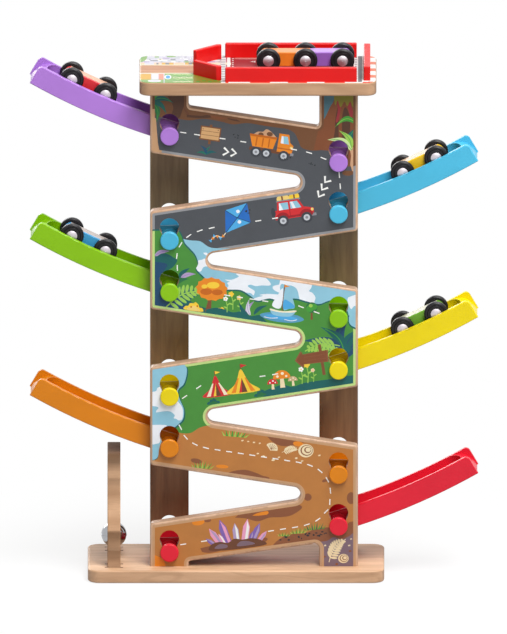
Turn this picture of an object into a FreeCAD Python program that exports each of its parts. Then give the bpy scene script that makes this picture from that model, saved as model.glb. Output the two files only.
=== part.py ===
import FreeCAD, Part
import math
import os

Vector = FreeCAD.Vector

# Toy car ramp: a wooden tower whose six curved ramps carry small cars from side to side,
# down to a finish gate with a bell. Millimetres, +X to the right, +Y away from the viewer,
# +Z up. The origin is on the base's underside, below the middle of the tower.

# Base board
base_past_left = 64.8      # tower's side to the base's end
base_past_right = 27.4
base_depth = 110.6
base_thick = 13.5
base_corner = 12.5
board_round = 2.0          # softened edges of the wooden boards

# Tower boards
tower_width = 216.2
post_width = 40.2
board_thick = 13.0
track_space = 48.0         # clear space between the front panel and the rear posts
tower_height = 510.9

# Zig-zag front panel
band_slope = 9.0           # degrees
band_height = 55.4
notch_sink = 2.43          # notch's middle line below the middle between its keyholes
notch_tip_x = 40.4         # centre of a notch's round tip, past the tower's centre line
notch_tip_radius = 7.9
panel_corner = 4.2
window_corner = 3.5
foot_arch_low = 5.3        # opening over the base, at its left end
foot_arch_high = 24.8      # opening over the base, at its right end
foot_arch_corner = 5.0
foot_arch_tip = 2.5

# Deck
deck_past_left = 11.1      # tower's side to the deck's end
deck_past_right = 19.2
deck_depth = 109.6
deck_thick = 14.5
deck_corner = 11.0

# Curved ramps
level_colours = ("red", "orange", "yellow", "green", "blue", "purple")
lowest_ramp_gap = 3.9      # base to the underside of the lowest ramp's inner end
highest_ramp_drop = 87.0   # boards' top to the underside of the highest ramp's inner end
ramp_radius = 676.0        # underside of the ramp
ramp_reach = 233.2         # tower's centre line to the outer end
ramp_inset = 2.1           # tower's side to the inner end
ramp_level_run = 1.0       # inner end to the arc's centre line
ramp_height = 22.0
ramp_width = 42.0
ramp_wall = 4.0
groove_depth = 12.1
ramp_end_block = 29.0      # outer end to where the groove's round end begins
ramp_nose_round = 5.0
ramp_end_wall = 4.4        # walls beside the rounded outer end
ramp_end_round = 20.8      # top of the outer end, between the walls
ramp_end_crest = 9.3       # start of the rounded end to its crest
ramp_edge_round = 1.0

# Pegs and keyholes
peg_inset = 20.2           # tower's side to the peg's middle
peg_rise = 11.1            # above the ramp's underside
peg_neck_radius = 6.5
peg_head_radius = 9.6
peg_head_thick = 4.5
peg_head_round = 1.2
peg_collar_radius = 9.0
peg_socket_depth = 2.5
keyhole_entry_radius = 10.2
keyhole_lift = 13.3        # seat to the centre of the entry hole
keyhole_mouth = 8.2        # half width where the slot meets the entry hole
peg_side_gap = 0.4         # head and collar to the board between them

# Deck fittings
rail_inset = 78.0          # tower's left side to the rails' left end
rail_stop_gap = 7.2        # rail's end to the end stop
rail_thick = 5.5
rail_height = 15.2
rail_inner_y = 46.2
rail_round = 1.2
stop_inset = 13.2          # deck's right end to the stop's near face
stop_thick = 6.9
stop_length = 93.0
stop_height = 15.5
funnel_rail_gap = 3.8      # rail's end to the funnel board
funnel_straight = 3.0
funnel_inner_y = 39.5
funnel_run = 22.9          # length of the slanting stretch along X
funnel_mouth = 34.0

# Finish gate and bell
gate_inset = 27.25         # base's left end to the gate's middle
gate_height = 117.8
gate_thick = 13.5
gate_half_width = 41.8
gate_leg = 15.5
gate_spring_height = 40.5  # where the arch begins, above the base
gate_shoulder = 21.0
gate_edge_round = 1.0
scallop_tops = (18.0, 39.0, 96.0)
scallop_depths = (1.6, 2.2, 5.0)
tenon_depth = 8.0
relief_width = 1.6
relief_length = 18.7
bell_radius = 13.2
bell_wall = 0.8
bell_height = 24.9         # bell's centre above the base
bell_seam = 0.4
bell_seam_height = 1.2
bell_slot = 2.0
bell_slot_reach = 7.5
pellet_radius = 3.0
wire_radius = 0.8
hook_ring_radius = 2.6
hook_drop = 5.0            # top of the arch to the middle of the hook's ring
hook_shank_radius = 1.0
hook_shank_depth = 8.0
bell_ring_radius = 2.4
bell_ring_rise = 1.9

# Cars
wheel_radius = 12.5
wheel_width = 6.2
wheel_base = 38.5
wheel_round = 1.4
wheel_groove_radius = 8.6
wheel_groove_width = 0.9
wheel_groove_depth = 0.5
cap_radius = 5.6
cap_height = 2.2
cap_recess = 1.0
axle_radius = 1.5
body_width = 17.4
body_height = 15.6
body_end_radius = 9.0
body_bevel = 0.9
tongue_width = 8.6
wheel_side_gap = 0.4
car_end_distance = 29.67   # ramp car's middle to the groove's round end, along the floor
double_car_distance = 60.6 # double car's middle axle to the end stop

# Fasteners
screw_radius = 2.0
screw_head_radius = 4.0
screw_head_height = 2.4
screw_length = 30.0
screw_sink = 0.3
screw_spacing = 22.0
screw_cross_width = 0.9
screw_cross_length = 4.2
screw_cross_depth = 1.0
dowel_radius = 4.0
dowel_in_deck = 9.0
dowel_in_board = 14.0
dowel_spacing = 22.0
pin_radius = 1.5
pin_in_deck = 9.0
pin_in_rail = 9.0

# Clearances
moving_gap = 0.3           # between faces that pass each other
running_gap = 0.08         # axle in its bore, on the radius
glue_gap = 0.05            # dowel, pin, peg or screw in its hole, on the radius
end_gap = 0.4              # past the end of a dowel, pin or screw

# Worked out from the sizes above
half_tower = tower_width / 2
half_space = track_space / 2
base_left = half_tower + base_past_left
base_right = half_tower + base_past_right
deck_left = half_tower + deck_past_left
deck_right = half_tower + deck_past_right
board_top = base_thick + tower_height
deck_top = board_top + deck_thick
front_face = half_space + board_thick
post_inner = half_tower - post_width
peg_x = half_tower - peg_inset
ramp_pitches = len(level_colours) - 1
level_pitch = (tower_height - highest_ramp_drop - lowest_ramp_gap) / ramp_pitches
ramp_inner_end = half_tower - ramp_inset
ramp_centre_x = ramp_inner_end + ramp_level_run
groove_end_x = ramp_reach - ramp_end_block
half_ramp = ramp_width / 2
half_groove = half_ramp - ramp_wall
floor_radius = ramp_radius - ramp_height + groove_depth
rim_radius = ramp_radius - ramp_height
groove_end_angle = math.asin((groove_end_x + ramp_centre_x) / floor_radius)
car_angle = math.degrees(groove_end_angle - car_end_distance / floor_radius)
wheel_inner = body_width / 2 + wheel_side_gap
wheel_outer = wheel_inner + wheel_width
post_middle = half_tower - post_width / 2
rail_outer_y = rail_inner_y + rail_thick
funnel_outer_y = funnel_inner_y + rail_thick
stop_x = deck_right - stop_inset
rail_end = stop_x - rail_stop_gap
rail_start = half_tower - rail_inset    # left of the tower's centre line
funnel_right = rail_start + funnel_rail_gap
funnel_bend = funnel_right + funnel_straight
funnel_left = funnel_bend + funnel_run
gate_x = base_left - gate_inset
double_car_x = stop_x - double_car_distance
seat_radius = peg_neck_radius + moving_gap


# Small builders

def box(x0, x1, y0, y1, z0, z1):
    return Part.makeBox(x1 - x0, y1 - y0, z1 - z0, Vector(x0, y0, z0))


def rod_y(radius, x, z, y0, y1):
    return Part.makeCylinder(radius, y1 - y0, Vector(x, y0, z), Vector(0, 1, 0))


def rod_z(radius, x, y, z0, z1):
    return Part.makeCylinder(radius, z1 - z0, Vector(x, y, z0))


def in_xz(u, v):
    return Vector(u, 0, v)


def in_yz(u, v):
    return Vector(0, u, v)


def in_xy(u, v):
    return Vector(u, v, 0)


def rounded_wire(corners, plane):
    """Closed outline through (u, v, radius) corners, drawn in the given plane."""
    stretches = []
    for index, (u, v, radius) in enumerate(corners):
        here = Vector(u, v, 0)
        before = Vector(*corners[index - 1][:2], 0) - here
        after = Vector(*corners[(index + 1) % len(corners)][:2], 0) - here
        before.normalize()
        after.normalize()
        if radius == 0:
            stretches.append([here])
            continue
        half = before.getAngle(after) / 2
        reach = radius / math.tan(half)
        inward = before + after
        inward.normalize()
        middle = here + inward * (radius / math.sin(half) - radius)
        stretches.append([here + before * reach, middle, here + after * reach])
    edges = []
    for index, stretch in enumerate(stretches):
        points = [plane(point.x, point.y) for point in stretch]
        following = stretches[(index + 1) % len(stretches)][0]
        if len(points) == 3:
            edges.append(Part.Arc(*points).toShape())
        edges.append(Part.makeLine(points[-1], plane(following.x, following.y)))
    return Part.Wire(edges)


def plate(corners, plane, start, thickness):
    """Board of the given outline; start and thickness are vectors."""
    face = Part.Face(rounded_wire(corners, plane))
    face.translate(start)
    return face.extrude(thickness)


def spun(points, x, z):
    """Solid turned about the Y line through x, z from (radius, y) points."""
    corners = [Vector(radius, y, 0) for radius, y in points]
    face = Part.Face(Part.makePolygon(corners + corners[:1]))
    solid = face.revolve(Vector(0, 0, 0), Vector(0, 1, 0), 360)
    solid.translate(Vector(x, 0, z))
    return solid


def joined(shapes):
    whole = shapes[0]
    if len(shapes) > 1:
        whole = whole.fuse(shapes[1:])
    return whole.removeSplitter()


def mirrored_x(shape):
    return shape.mirror(Vector(0, 0, 0), Vector(1, 0, 0))


def mirrored_y(shape):
    return shape.mirror(Vector(0, 0, 0), Vector(0, 1, 0))


def edges_where(shape, test):
    return [edge for edge in shape.Edges if test(edge)]


def lies_at(edge, axis, value):
    limits = edge.BoundBox
    low = getattr(limits, axis + "Min")
    high = getattr(limits, axis + "Max")
    return abs(low - value) < 0.01 and abs(high - value) < 0.01


# Where the ramps and their pegs are

def outer_side(level):
    """Side of the tower that a ramp reaches out to: 1 is right, -1 is left."""
    return 1 if level % 2 == 0 else -1


def arc_centre_z(level):
    return base_thick + lowest_ramp_gap + level * level_pitch + ramp_radius


def underside_z(level, x_outward):
    across = x_outward + ramp_centre_x
    return arc_centre_z(level) - math.sqrt(ramp_radius ** 2 - across ** 2)


def peg_places(level):
    side = outer_side(level)
    return [(side * x, underside_z(level, x) + peg_rise) for x in (peg_x, -peg_x)]


# Wooden tower

def keyhole(x, z, y0, y1):
    """Round entry hole with a narrowing slot down to the seat of a peg's neck."""
    entry_z = z + keyhole_lift
    mouth_z = entry_z - math.sqrt(keyhole_entry_radius ** 2 - keyhole_mouth ** 2)
    slot = [(x - seat_radius, z, 0), (x + seat_radius, z, 0),
            (x + keyhole_mouth, mouth_z, 0), (x + keyhole_mouth, entry_z, 0),
            (x - keyhole_mouth, entry_z, 0), (x - keyhole_mouth, mouth_z, 0)]
    return joined([rod_y(keyhole_entry_radius, x, entry_z, y0, y1),
                   rod_y(seat_radius, x, z, y0, y1),
                   plate(slot, in_xz, Vector(0, y0, 0), Vector(0, y1 - y0, 0))])


def board_screw_places(y):
    return [(side * post_middle + step * screw_spacing / 2, y)
            for side in (-1, 1) for step in (-1, 1)]


def screw_places():
    middle = half_space + board_thick / 2
    return board_screw_places(-middle) + board_screw_places(middle)


def dowel_places():
    middle = half_space + board_thick / 2
    return [(side * post_middle + step * dowel_spacing / 2, y)
            for y in (-middle, middle) for side in (-1, 1) for step in (-1, 1)]


def board_joint_holes(y_sign):
    """Pilot holes for the base's screws and dowel holes for the deck."""
    holes = []
    for x, y in screw_places():
        if y * y_sign > 0:
            holes.append(rod_z(screw_radius + glue_gap, x, y, 0, screw_length + end_gap))
    for x, y in dowel_places():
        if y * y_sign > 0:
            holes.append(rod_z(dowel_radius + glue_gap, x, y,
                               board_top - dowel_in_board - end_gap, deck_top))
    return holes


def notch_middle(level):
    """Middle line of a notch, from the keyholes above and below its open side."""
    seat_bottom = underside_z(level, peg_x) + peg_rise - seat_radius
    entry_middle = underside_z(level - 1, -peg_x) + peg_rise + keyhole_lift
    return (seat_bottom + entry_middle + keyhole_entry_radius) / 2 - notch_sink


def notch_edges(level):
    """Height of a notch's edges at the open side, and the apex where they would meet."""
    side = outer_side(level)
    slope = math.radians(band_slope)
    middle = notch_middle(level)
    apex_x = notch_tip_x + notch_tip_radius / math.sin(slope)
    spread = (half_tower + apex_x) * math.tan(slope)
    return side, middle - spread, middle + spread, (-side * apex_x, middle)


def panel_outline():
    slope = math.tan(math.radians(band_slope))
    arch_right = base_thick + foot_arch_high
    corners = [(-half_tower, base_thick, 0), (-post_inner, base_thick, 0),
               (-post_inner, base_thick + foot_arch_low, foot_arch_tip),
               (post_inner, arch_right, foot_arch_corner),
               (post_inner, base_thick, 0), (half_tower, base_thick, 0)]
    for level in (2, 4):
        side, low, high, apex = notch_edges(level)
        corners += [(side * half_tower, low, panel_corner), (*apex, notch_tip_radius),
                    (side * half_tower, high, panel_corner)]
    side, low, high, apex = notch_edges(5)
    window_left = high + band_height - post_width * slope
    window_right = window_left - 2 * post_inner * slope
    corners += [(half_tower, board_top, 0), (post_inner, board_top, 0),
                (post_inner, window_right, window_corner),
                (-post_inner, window_left, window_corner),
                (-post_inner, board_top, 0), (-half_tower, board_top, 0)]
    for level in (5, 3, 1):
        side, low, high, apex = notch_edges(level)
        corners += [(side * half_tower, high, panel_corner), (*apex, notch_tip_radius),
                    (side * half_tower, low, panel_corner)]
    return corners


def softened(board, y_faces):
    """Rounds the long edges of a standing board, not those at its feet and its top."""
    def outline_edge(edge):
        on_face = any(lies_at(edge, "Y", y) for y in y_faces)
        at_end = lies_at(edge, "Z", base_thick) or lies_at(edge, "Z", board_top)
        return on_face and not at_end
    return board.makeFillet(board_round, edges_where(board, outline_edge))


def make_front_panel():
    board = plate(panel_outline(), in_xz, Vector(0, -front_face, 0), Vector(0, board_thick, 0))
    board = softened(board, (-front_face, -half_space))
    cuts = board_joint_holes(-1)
    for level in range(len(level_colours)):
        for x, z in peg_places(level):
            cuts.append(keyhole(x, z, -front_face - 1, -half_space + 1))
    return board.cut(cuts)


def make_rear_post(side):
    x0 = post_inner if side > 0 else -half_tower
    board = box(x0, x0 + post_width, half_space, front_face, base_thick, board_top)
    board = softened(board, (half_space, front_face))
    cuts = board_joint_holes(1)
    for level in range(len(level_colours)):
        for x, z in peg_places(level):
            if x * side > 0:
                cuts.append(keyhole(x, z, half_space - 1, front_face + 1))
    return board.cut(cuts)


def rounded_board(x0, x1, depth, corner, z0, z1):
    half = depth / 2
    corners = [(x0, -half, corner), (x1, -half, corner), (x1, half, corner), (x0, half, corner)]
    board = plate(corners, in_xy, Vector(0, 0, z0), Vector(0, 0, z1 - z0))
    rims = edges_where(board, lambda edge: lies_at(edge, "Z", z0) or lies_at(edge, "Z", z1))
    return board.makeFillet(board_round, rims)


def gate_mortises():
    """Blind sockets for the gate's feet, with a cutter's relief at each corner."""
    cuts = []
    z0 = base_thick - tenon_depth - end_gap
    half_thick = gate_thick / 2 + glue_gap
    inner = gate_half_width - gate_leg - glue_gap
    outer = gate_half_width + glue_gap
    for side in (-1, 1):
        near, far = sorted((side * inner, side * outer))
        cuts.append(box(-gate_x - half_thick, -gate_x + half_thick, near, far, z0, base_thick + 1))
        for y in (near, far - relief_width):
            cuts.append(box(-gate_x - relief_length / 2, -gate_x + relief_length / 2,
                            y, y + relief_width, z0, base_thick + 1))
    return cuts


def countersunk(x, y, radius, head_radius, top):
    """Upward countersunk screw shape from the base's underside."""
    head = Part.makeCone(head_radius, radius, screw_head_height, Vector(x, y, screw_sink))
    shank = rod_z(radius, x, y, screw_sink, top)
    return joined([head, shank])


def make_base():
    board = rounded_board(-base_left, base_right, base_depth, base_corner, 0, base_thick)
    cuts = gate_mortises()
    for x, y in screw_places():
        cuts.append(rod_z(screw_head_radius + glue_gap, x, y, -1, screw_sink))
        cuts.append(countersunk(x, y, screw_radius + glue_gap,
                                screw_head_radius + glue_gap, base_thick + 1))
    return board.cut(cuts)


def make_base_screws():
    screws = []
    for x, y in screw_places():
        screw = countersunk(x, y, screw_radius, screw_head_radius, screw_length)
        half_long = screw_cross_length / 2
        half_wide = screw_cross_width / 2
        top = screw_sink + screw_cross_depth
        cross = [box(x - half_long, x + half_long, y - half_wide, y + half_wide, 0, top),
                 box(x - half_wide, x + half_wide, y - half_long, y + half_long, 0, top)]
        screws.append(screw.cut(cross))
    return Part.makeCompound(screws)


def make_deck():
    board = rounded_board(-deck_left, deck_right, deck_depth, deck_corner, board_top, deck_top)
    cuts = []
    for x, y in dowel_places():
        cuts.append(rod_z(dowel_radius + glue_gap, x, y,
                          board_top - 1, board_top + dowel_in_deck + end_gap))
    for x, y in pin_places():
        cuts.append(rod_z(pin_radius + glue_gap, x, y,
                          deck_top - pin_in_deck - end_gap, deck_top + 1))
    return board.cut(cuts)


def make_deck_dowels():
    dowels = [rod_z(dowel_radius, x, y, board_top - dowel_in_board, board_top + dowel_in_deck)
              for x, y in dowel_places()]
    return Part.makeCompound(dowels)


# Red fittings on the deck

def funnel_slant():
    """Run and unit normal of the slanting board's inner face, on the front side."""
    run = Vector(funnel_bend - funnel_left, funnel_inner_y - funnel_mouth / 2, 0)
    normal = Vector(-run.y, run.x, 0)
    normal.normalize()
    return run, normal


def pin_places():
    middle_y = rail_inner_y + rail_thick / 2
    run, normal = funnel_slant()
    slant_x = -funnel_bend + run.x / 2 + normal.x * rail_thick / 2
    slant_y = funnel_inner_y - run.y / 2 - normal.y * rail_thick / 2
    places = []
    for side in (-1, 1):
        for share in (0.15, 0.85):
            x = -rail_start + share * (rail_end + rail_start)
            places.append((x, side * middle_y))
        places.append((slant_x, side * slant_y))
        places.append((stop_x + stop_thick / 2, side * stop_length / 4))
    return places


def make_rail_pins():
    pins = [rod_z(pin_radius, x, y, deck_top - pin_in_deck, deck_top + pin_in_rail)
            for x, y in pin_places()]
    return Part.makeCompound(pins)


def pin_holes():
    return [rod_z(pin_radius + glue_gap, x, y, deck_top - 1, deck_top + pin_in_rail + end_gap)
            for x, y in pin_places()]


def fitting(corners, height):
    board = plate(corners, in_xy, Vector(0, 0, deck_top), Vector(0, 0, height))
    top = edges_where(board, lambda edge: lies_at(edge, "Z", deck_top + height))
    return board.makeFillet(rail_round, top).cut(pin_holes())


def make_rail():
    corners = [(-rail_start, -rail_outer_y, rail_round), (rail_end, -rail_outer_y, rail_round),
               (rail_end, -rail_inner_y, rail_round), (-rail_start, -rail_inner_y, rail_round)]
    return fitting(corners, rail_height)


def make_funnel():
    run, normal = funnel_slant()
    tip = Vector(-funnel_left, -funnel_mouth / 2, 0)
    back = Vector(-funnel_bend, -funnel_inner_y, 0)
    thick = Vector(-abs(normal.x), -abs(normal.y), 0) * rail_thick
    along = (back - tip).normalize()
    outer_tip = tip + thick
    reach = (funnel_outer_y + outer_tip.y) / -along.y
    outer_bend = outer_tip + along * reach
    corners = [(-funnel_right, -funnel_outer_y, rail_round),
               (-funnel_right, -funnel_inner_y, rail_round),
               (back.x, back.y, rail_round), (tip.x, tip.y, rail_round),
               (outer_tip.x, outer_tip.y, rail_round), (outer_bend.x, outer_bend.y, rail_round)]
    return fitting(corners, rail_height)


def make_end_stop():
    half = stop_length / 2
    corners = [(stop_x, -half, rail_round), (stop_x + stop_thick, -half, rail_round),
               (stop_x + stop_thick, half, rail_round), (stop_x, half, rail_round)]
    return fitting(corners, stop_height)


# Ramps and pegs

def on_arc(radius, angle):
    """Point on a right-hand ramp's arc at level 0; the angle is from straight down."""
    return Vector(-ramp_centre_x + radius * math.sin(angle), 0,
                  arc_centre_z(0) - radius * math.cos(angle))


def arc_slab(inner_radius, outer_radius, angle0, angle1, half_width):
    middle = (angle0 + angle1) / 2
    outline = [
        Part.Arc(on_arc(outer_radius, angle0), on_arc(outer_radius, middle),
                 on_arc(outer_radius, angle1)).toShape(),
        Part.makeLine(on_arc(outer_radius, angle1), on_arc(inner_radius, angle1)),
        Part.Arc(on_arc(inner_radius, angle1), on_arc(inner_radius, middle),
                 on_arc(inner_radius, angle0)).toShape(),
        Part.makeLine(on_arc(inner_radius, angle0), on_arc(outer_radius, angle0)),
    ]
    face = Part.Face(Part.Wire(outline))
    face.translate(Vector(0, -half_width, 0))
    return face.extrude(Vector(0, 2 * half_width, 0))


def make_groove(inner):
    """Space above a right-hand ramp's floor, with a round outer end."""
    deep = arc_slab(rim_radius - ramp_height, floor_radius, inner - math.radians(1),
                    groove_end_angle + math.radians(2), half_ramp)
    along = Vector(math.cos(groove_end_angle), 0, math.sin(groove_end_angle))
    upward = Vector(-along.z, 0, along.x)
    place = on_arc(ramp_radius, groove_end_angle)
    start = place - along * ramp_radius
    side = Vector(0, half_groove, 0)
    outline = [
        Part.makeLine(start - side, place - side),
        Part.Arc(place - side, place + along * half_groove, place + side).toShape(),
        Part.makeLine(place + side, start + side),
        Part.makeLine(start + side, start - side),
    ]
    return deep.common(Part.Face(Part.Wire(outline)).extrude(upward * ramp_radius))


def make_end_hollow():
    """Space above the rounded outer end, between the walls."""
    start = on_arc(rim_radius, math.asin((groove_end_x + ramp_centre_x) / rim_radius))
    drop = math.sqrt(ramp_end_round ** 2 - ramp_end_crest ** 2)
    half = half_ramp - ramp_end_wall
    space = box(start.x, ramp_reach + 1, -half, half, start.z - drop, start.z + ramp_height)
    crest_x = start.x + ramp_end_crest
    return space.cut(rod_y(ramp_end_round, crest_x, start.z - drop, -half - 1, half + 1))


def ramp_outline(inner):
    """Side view of a right-hand ramp, with a round nose at its outer end."""
    outer = math.asin((ramp_reach + ramp_centre_x) / ramp_radius)
    round_reach = rim_radius + ramp_nose_round
    round_angle = outer - math.asin(ramp_nose_round / round_reach)
    round_centre = on_arc(round_reach, round_angle)
    on_rim = on_arc(rim_radius, round_angle)
    on_end = on_arc(math.sqrt(round_reach ** 2 - ramp_nose_round ** 2), outer)
    towards_nose = (on_arc(rim_radius, outer) - round_centre).normalize()
    halfway = (inner + outer) / 2
    return [
        Part.Arc(on_arc(ramp_radius, inner), on_arc(ramp_radius, halfway),
                 on_arc(ramp_radius, outer)).toShape(),
        Part.makeLine(on_arc(ramp_radius, outer), on_end),
        Part.Arc(on_end, round_centre + towards_nose * ramp_nose_round, on_rim).toShape(),
        Part.Arc(on_rim, on_arc(rim_radius, (inner + round_angle) / 2),
                 on_arc(rim_radius, inner)).toShape(),
        Part.makeLine(on_arc(rim_radius, inner), on_arc(ramp_radius, inner)),
    ]


def make_right_ramp():
    """Ramp at level 0, reaching out to the right."""
    inner = math.asin((ramp_centre_x - ramp_inner_end) / ramp_radius)
    face = Part.Face(Part.Wire(ramp_outline(inner)))
    face.translate(Vector(0, -half_ramp, 0))
    solid = face.extrude(Vector(0, ramp_width, 0))
    for y in (-half_ramp, half_ramp):
        rims = edges_where(solid, lambda edge: lies_at(edge, "Y", y))
        solid = solid.makeFillet(ramp_edge_round, rims)
    cuts = [make_groove(inner), make_end_hollow()]
    for x, z in peg_places(0):
        for side in (-1, 1):
            y0, y1 = sorted((side * (half_ramp - peg_socket_depth), side * (half_ramp + 1)))
            cuts.append(rod_y(peg_neck_radius + glue_gap, x, z, y0, y1))
    return solid.cut(cuts)


def make_peg():
    """Front peg about the Y line through the origin."""
    root = -(half_ramp - peg_socket_depth)
    collar_in = -half_ramp
    collar_out = -(half_space - peg_side_gap)
    head_in = -(front_face + peg_side_gap)
    head_out = head_in - peg_head_thick
    neck = rod_y(peg_neck_radius, 0, 0, head_in, root)
    collar = rod_y(peg_collar_radius, 0, 0, collar_out, collar_in)
    head = rod_y(peg_head_radius, 0, 0, head_out, head_in)
    head = head.makeFillet(peg_head_round, edges_where(head, lambda edge: lies_at(edge, "Y", head_out)))
    return joined([neck, collar, head])


def make_pegs(level):
    front = make_peg()
    pegs = []
    for x, z in peg_places(level):
        for peg in (front, mirrored_y(front)):
            pegs.append(peg.translated(Vector(x, 0, z)))
    return Part.makeCompound(pegs)


# Finish gate and bell

def gate_scallops():
    """Hollows in the gate's outer edges, each between two heights above the base."""
    hollows = []
    bottom = 0
    for top, depth in zip(scallop_tops, scallop_depths):
        half = (top - bottom) / 2
        radius = (half ** 2 + depth ** 2) / (2 * depth)
        z = base_thick + (top + bottom) / 2
        for side in (-1, 1):
            y = side * (gate_half_width - depth + radius)
            start = Vector(-gate_x - gate_thick, y, z)
            hollows.append(Part.makeCylinder(radius, 2 * gate_thick, start, Vector(1, 0, 0)))
        bottom = top
    return hollows


def make_finish_gate():
    half = gate_half_width
    inner = half - gate_leg
    top = base_thick + gate_height
    spring = base_thick + gate_spring_height
    left = -gate_x - gate_thick / 2
    right = left + gate_thick
    through = Vector(gate_thick, 0, 0)
    outline = [(-half, base_thick, 0), (half, base_thick, 0),
               (half, top, gate_shoulder), (-half, top, gate_shoulder)]
    board = plate(outline, in_yz, Vector(left, 0, 0), through)
    arch = [box(left - 1, right + 1, -inner, inner, base_thick - 1, spring),
            Part.makeCylinder(inner, gate_thick + 2, Vector(left - 1, 0, spring), Vector(1, 0, 0))]
    board = board.cut(joined(arch))
    board = board.cut(gate_scallops())
    rims = edges_where(board, lambda edge: (lies_at(edge, "X", left) or lies_at(edge, "X", right))
                       and not lies_at(edge, "Z", base_thick))
    board = board.makeFillet(gate_edge_round, rims)
    feet = []
    for side in (-1, 1):
        y0, y1 = sorted((side * inner, side * half))
        feet.append(box(left, right, y0, y1, base_thick - tenon_depth, base_thick))
    shank_hole = rod_z(hook_shank_radius + glue_gap, -gate_x, 0,
                       spring, spring + inner + hook_shank_depth + end_gap)
    return joined([board] + feet).cut(shank_hole)


def arch_top():
    return base_thick + gate_spring_height + gate_half_width - gate_leg


def pivot_z():
    """Lowest wire of the hook's ring, on which the bell's link swings."""
    return arch_top() - hook_drop - hook_ring_radius


def bell_ring_z():
    return base_thick + bell_height + bell_radius + bell_ring_rise


def make_bell_hook():
    ring_z = arch_top() - hook_drop
    ring = Part.makeTorus(hook_ring_radius, wire_radius, Vector(-gate_x, 0, ring_z), Vector(1, 0, 0))
    shank = rod_z(hook_shank_radius, -gate_x, 0,
                  ring_z + hook_ring_radius, arch_top() + hook_shank_depth)
    return joined([ring, shank])


def make_bell_link():
    """Long wire loop from the hook's ring to the bell's ring."""
    bow = 2 * wire_radius + moving_gap
    high = pivot_z()
    low = bell_ring_z() + bell_ring_radius
    left = -gate_x - bow
    right = -gate_x + bow
    path = Part.Wire([
        Part.makeLine(Vector(left, 0, low), Vector(left, 0, high)),
        Part.Arc(Vector(left, 0, high), Vector(-gate_x, 0, high + bow), Vector(right, 0, high)).toShape(),
        Part.makeLine(Vector(right, 0, high), Vector(right, 0, low)),
        Part.Arc(Vector(right, 0, low), Vector(-gate_x, 0, low - bow), Vector(left, 0, low)).toShape(),
    ])
    section = Part.Wire(Part.makeCircle(wire_radius, Vector(left, 0, low), Vector(0, 0, 1)))
    return path.makePipeShell([section], True, False)


def make_bell_shell():
    """Hollow ball with a seam, a crossed slot below and a ring on top."""
    centre = Vector(-gate_x, 0, base_thick + bell_height)
    ball = Part.makeSphere(bell_radius, centre)
    seam = Part.makeCylinder(bell_radius + bell_seam, bell_seam_height,
                             centre - Vector(0, 0, bell_seam_height / 2))
    ring = Part.makeTorus(bell_ring_radius, wire_radius,
                          Vector(-gate_x, 0, bell_ring_z()), Vector(1, 0, 0))
    half = bell_slot / 2
    depth = centre.z - bell_radius
    slots = [box(centre.x - bell_slot_reach, centre.x + bell_slot_reach, -half, half,
                 depth - 1, centre.z - bell_radius / 2),
             box(centre.x - half, centre.x + half, -bell_slot_reach, bell_slot_reach,
                 depth - 1, centre.z - bell_radius / 2)]
    for x, y in ((bell_slot_reach, 0), (-bell_slot_reach, 0), (0, bell_slot_reach), (0, -bell_slot_reach)):
        slots.append(rod_z(bell_slot, centre.x + x, y, depth - 1, centre.z - bell_radius / 2))
    hollow = Part.makeSphere(bell_radius - bell_wall, centre)
    shell = joined([ball, seam, ring])
    return shell.cut([hollow] + slots)


def make_bell_pellet():
    bottom = base_thick + bell_height - bell_radius + bell_wall
    return Part.makeSphere(pellet_radius, Vector(-gate_x, 0, bottom + pellet_radius + moving_gap))


# Cars, drawn with their axles at height 0 along X and moved into place

def make_wheel_pair(x):
    tyre = wheel_outer - wheel_round
    outline = [(axle_radius + glue_gap, wheel_inner), (wheel_radius - wheel_round, wheel_inner),
               (wheel_radius, wheel_inner + wheel_round), (wheel_radius, tyre),
               (wheel_radius - wheel_round, wheel_outer),
               (wheel_groove_radius + wheel_groove_width, wheel_outer),
               (wheel_groove_radius + wheel_groove_width / 2, wheel_outer - wheel_groove_depth),
               (wheel_groove_radius, wheel_outer),
               (cap_radius + glue_gap, wheel_outer), (cap_radius + glue_gap, wheel_outer - cap_recess),
               (axle_radius + glue_gap, wheel_outer - cap_recess)]
    wheel = spun(outline, x, 0)
    return [wheel, mirrored_y(wheel)]


def make_axle(x):
    """Steel axle with a domed cap pressed on each end."""
    foot = wheel_outer - cap_recess
    rod_end = foot + cap_height - cap_recess
    crown = foot + cap_height
    rim = foot + cap_recess
    bulge_radius = (cap_radius ** 2 + (crown - rim) ** 2) / (2 * (crown - rim))
    bulge = Vector(0, crown - bulge_radius, 0)
    half_way = cap_radius / 2
    shoulder = Vector(half_way, bulge.y + math.sqrt(bulge_radius ** 2 - half_way ** 2), 0)
    profile = Part.Wire([
        Part.makeLine(Vector(0, foot, 0), Vector(cap_radius, foot, 0)),
        Part.makeLine(Vector(cap_radius, foot, 0), Vector(cap_radius, rim, 0)),
        Part.Arc(Vector(cap_radius, rim, 0), shoulder, Vector(0, crown, 0)).toShape(),
        Part.makeLine(Vector(0, crown, 0), Vector(0, foot, 0)),
    ])
    cap = Part.Face(profile).revolve(Vector(0, 0, 0), Vector(0, 1, 0), 360)
    cap = cap.cut(rod_y(axle_radius + glue_gap, 0, 0, foot - 1, rod_end))
    cap.translate(Vector(x, 0, 0))
    return [rod_y(axle_radius, x, 0, -rod_end, rod_end), cap, mirrored_y(cap)]


def car_block(x0, x1, half_width):
    """Body between two axles, rounded about each axle and bevelled along its sides."""
    half = body_height / 2
    block = box(x0 - body_end_radius, x1 + body_end_radius, -half_width, half_width, -half, half)
    ends = [rod_y(body_end_radius, x, 0, -half_width, half_width) for x in (x0, x1)]
    middle = box(x0, x1, -half_width, half_width, -half, half)
    return block.common(joined(ends + [middle]))


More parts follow.
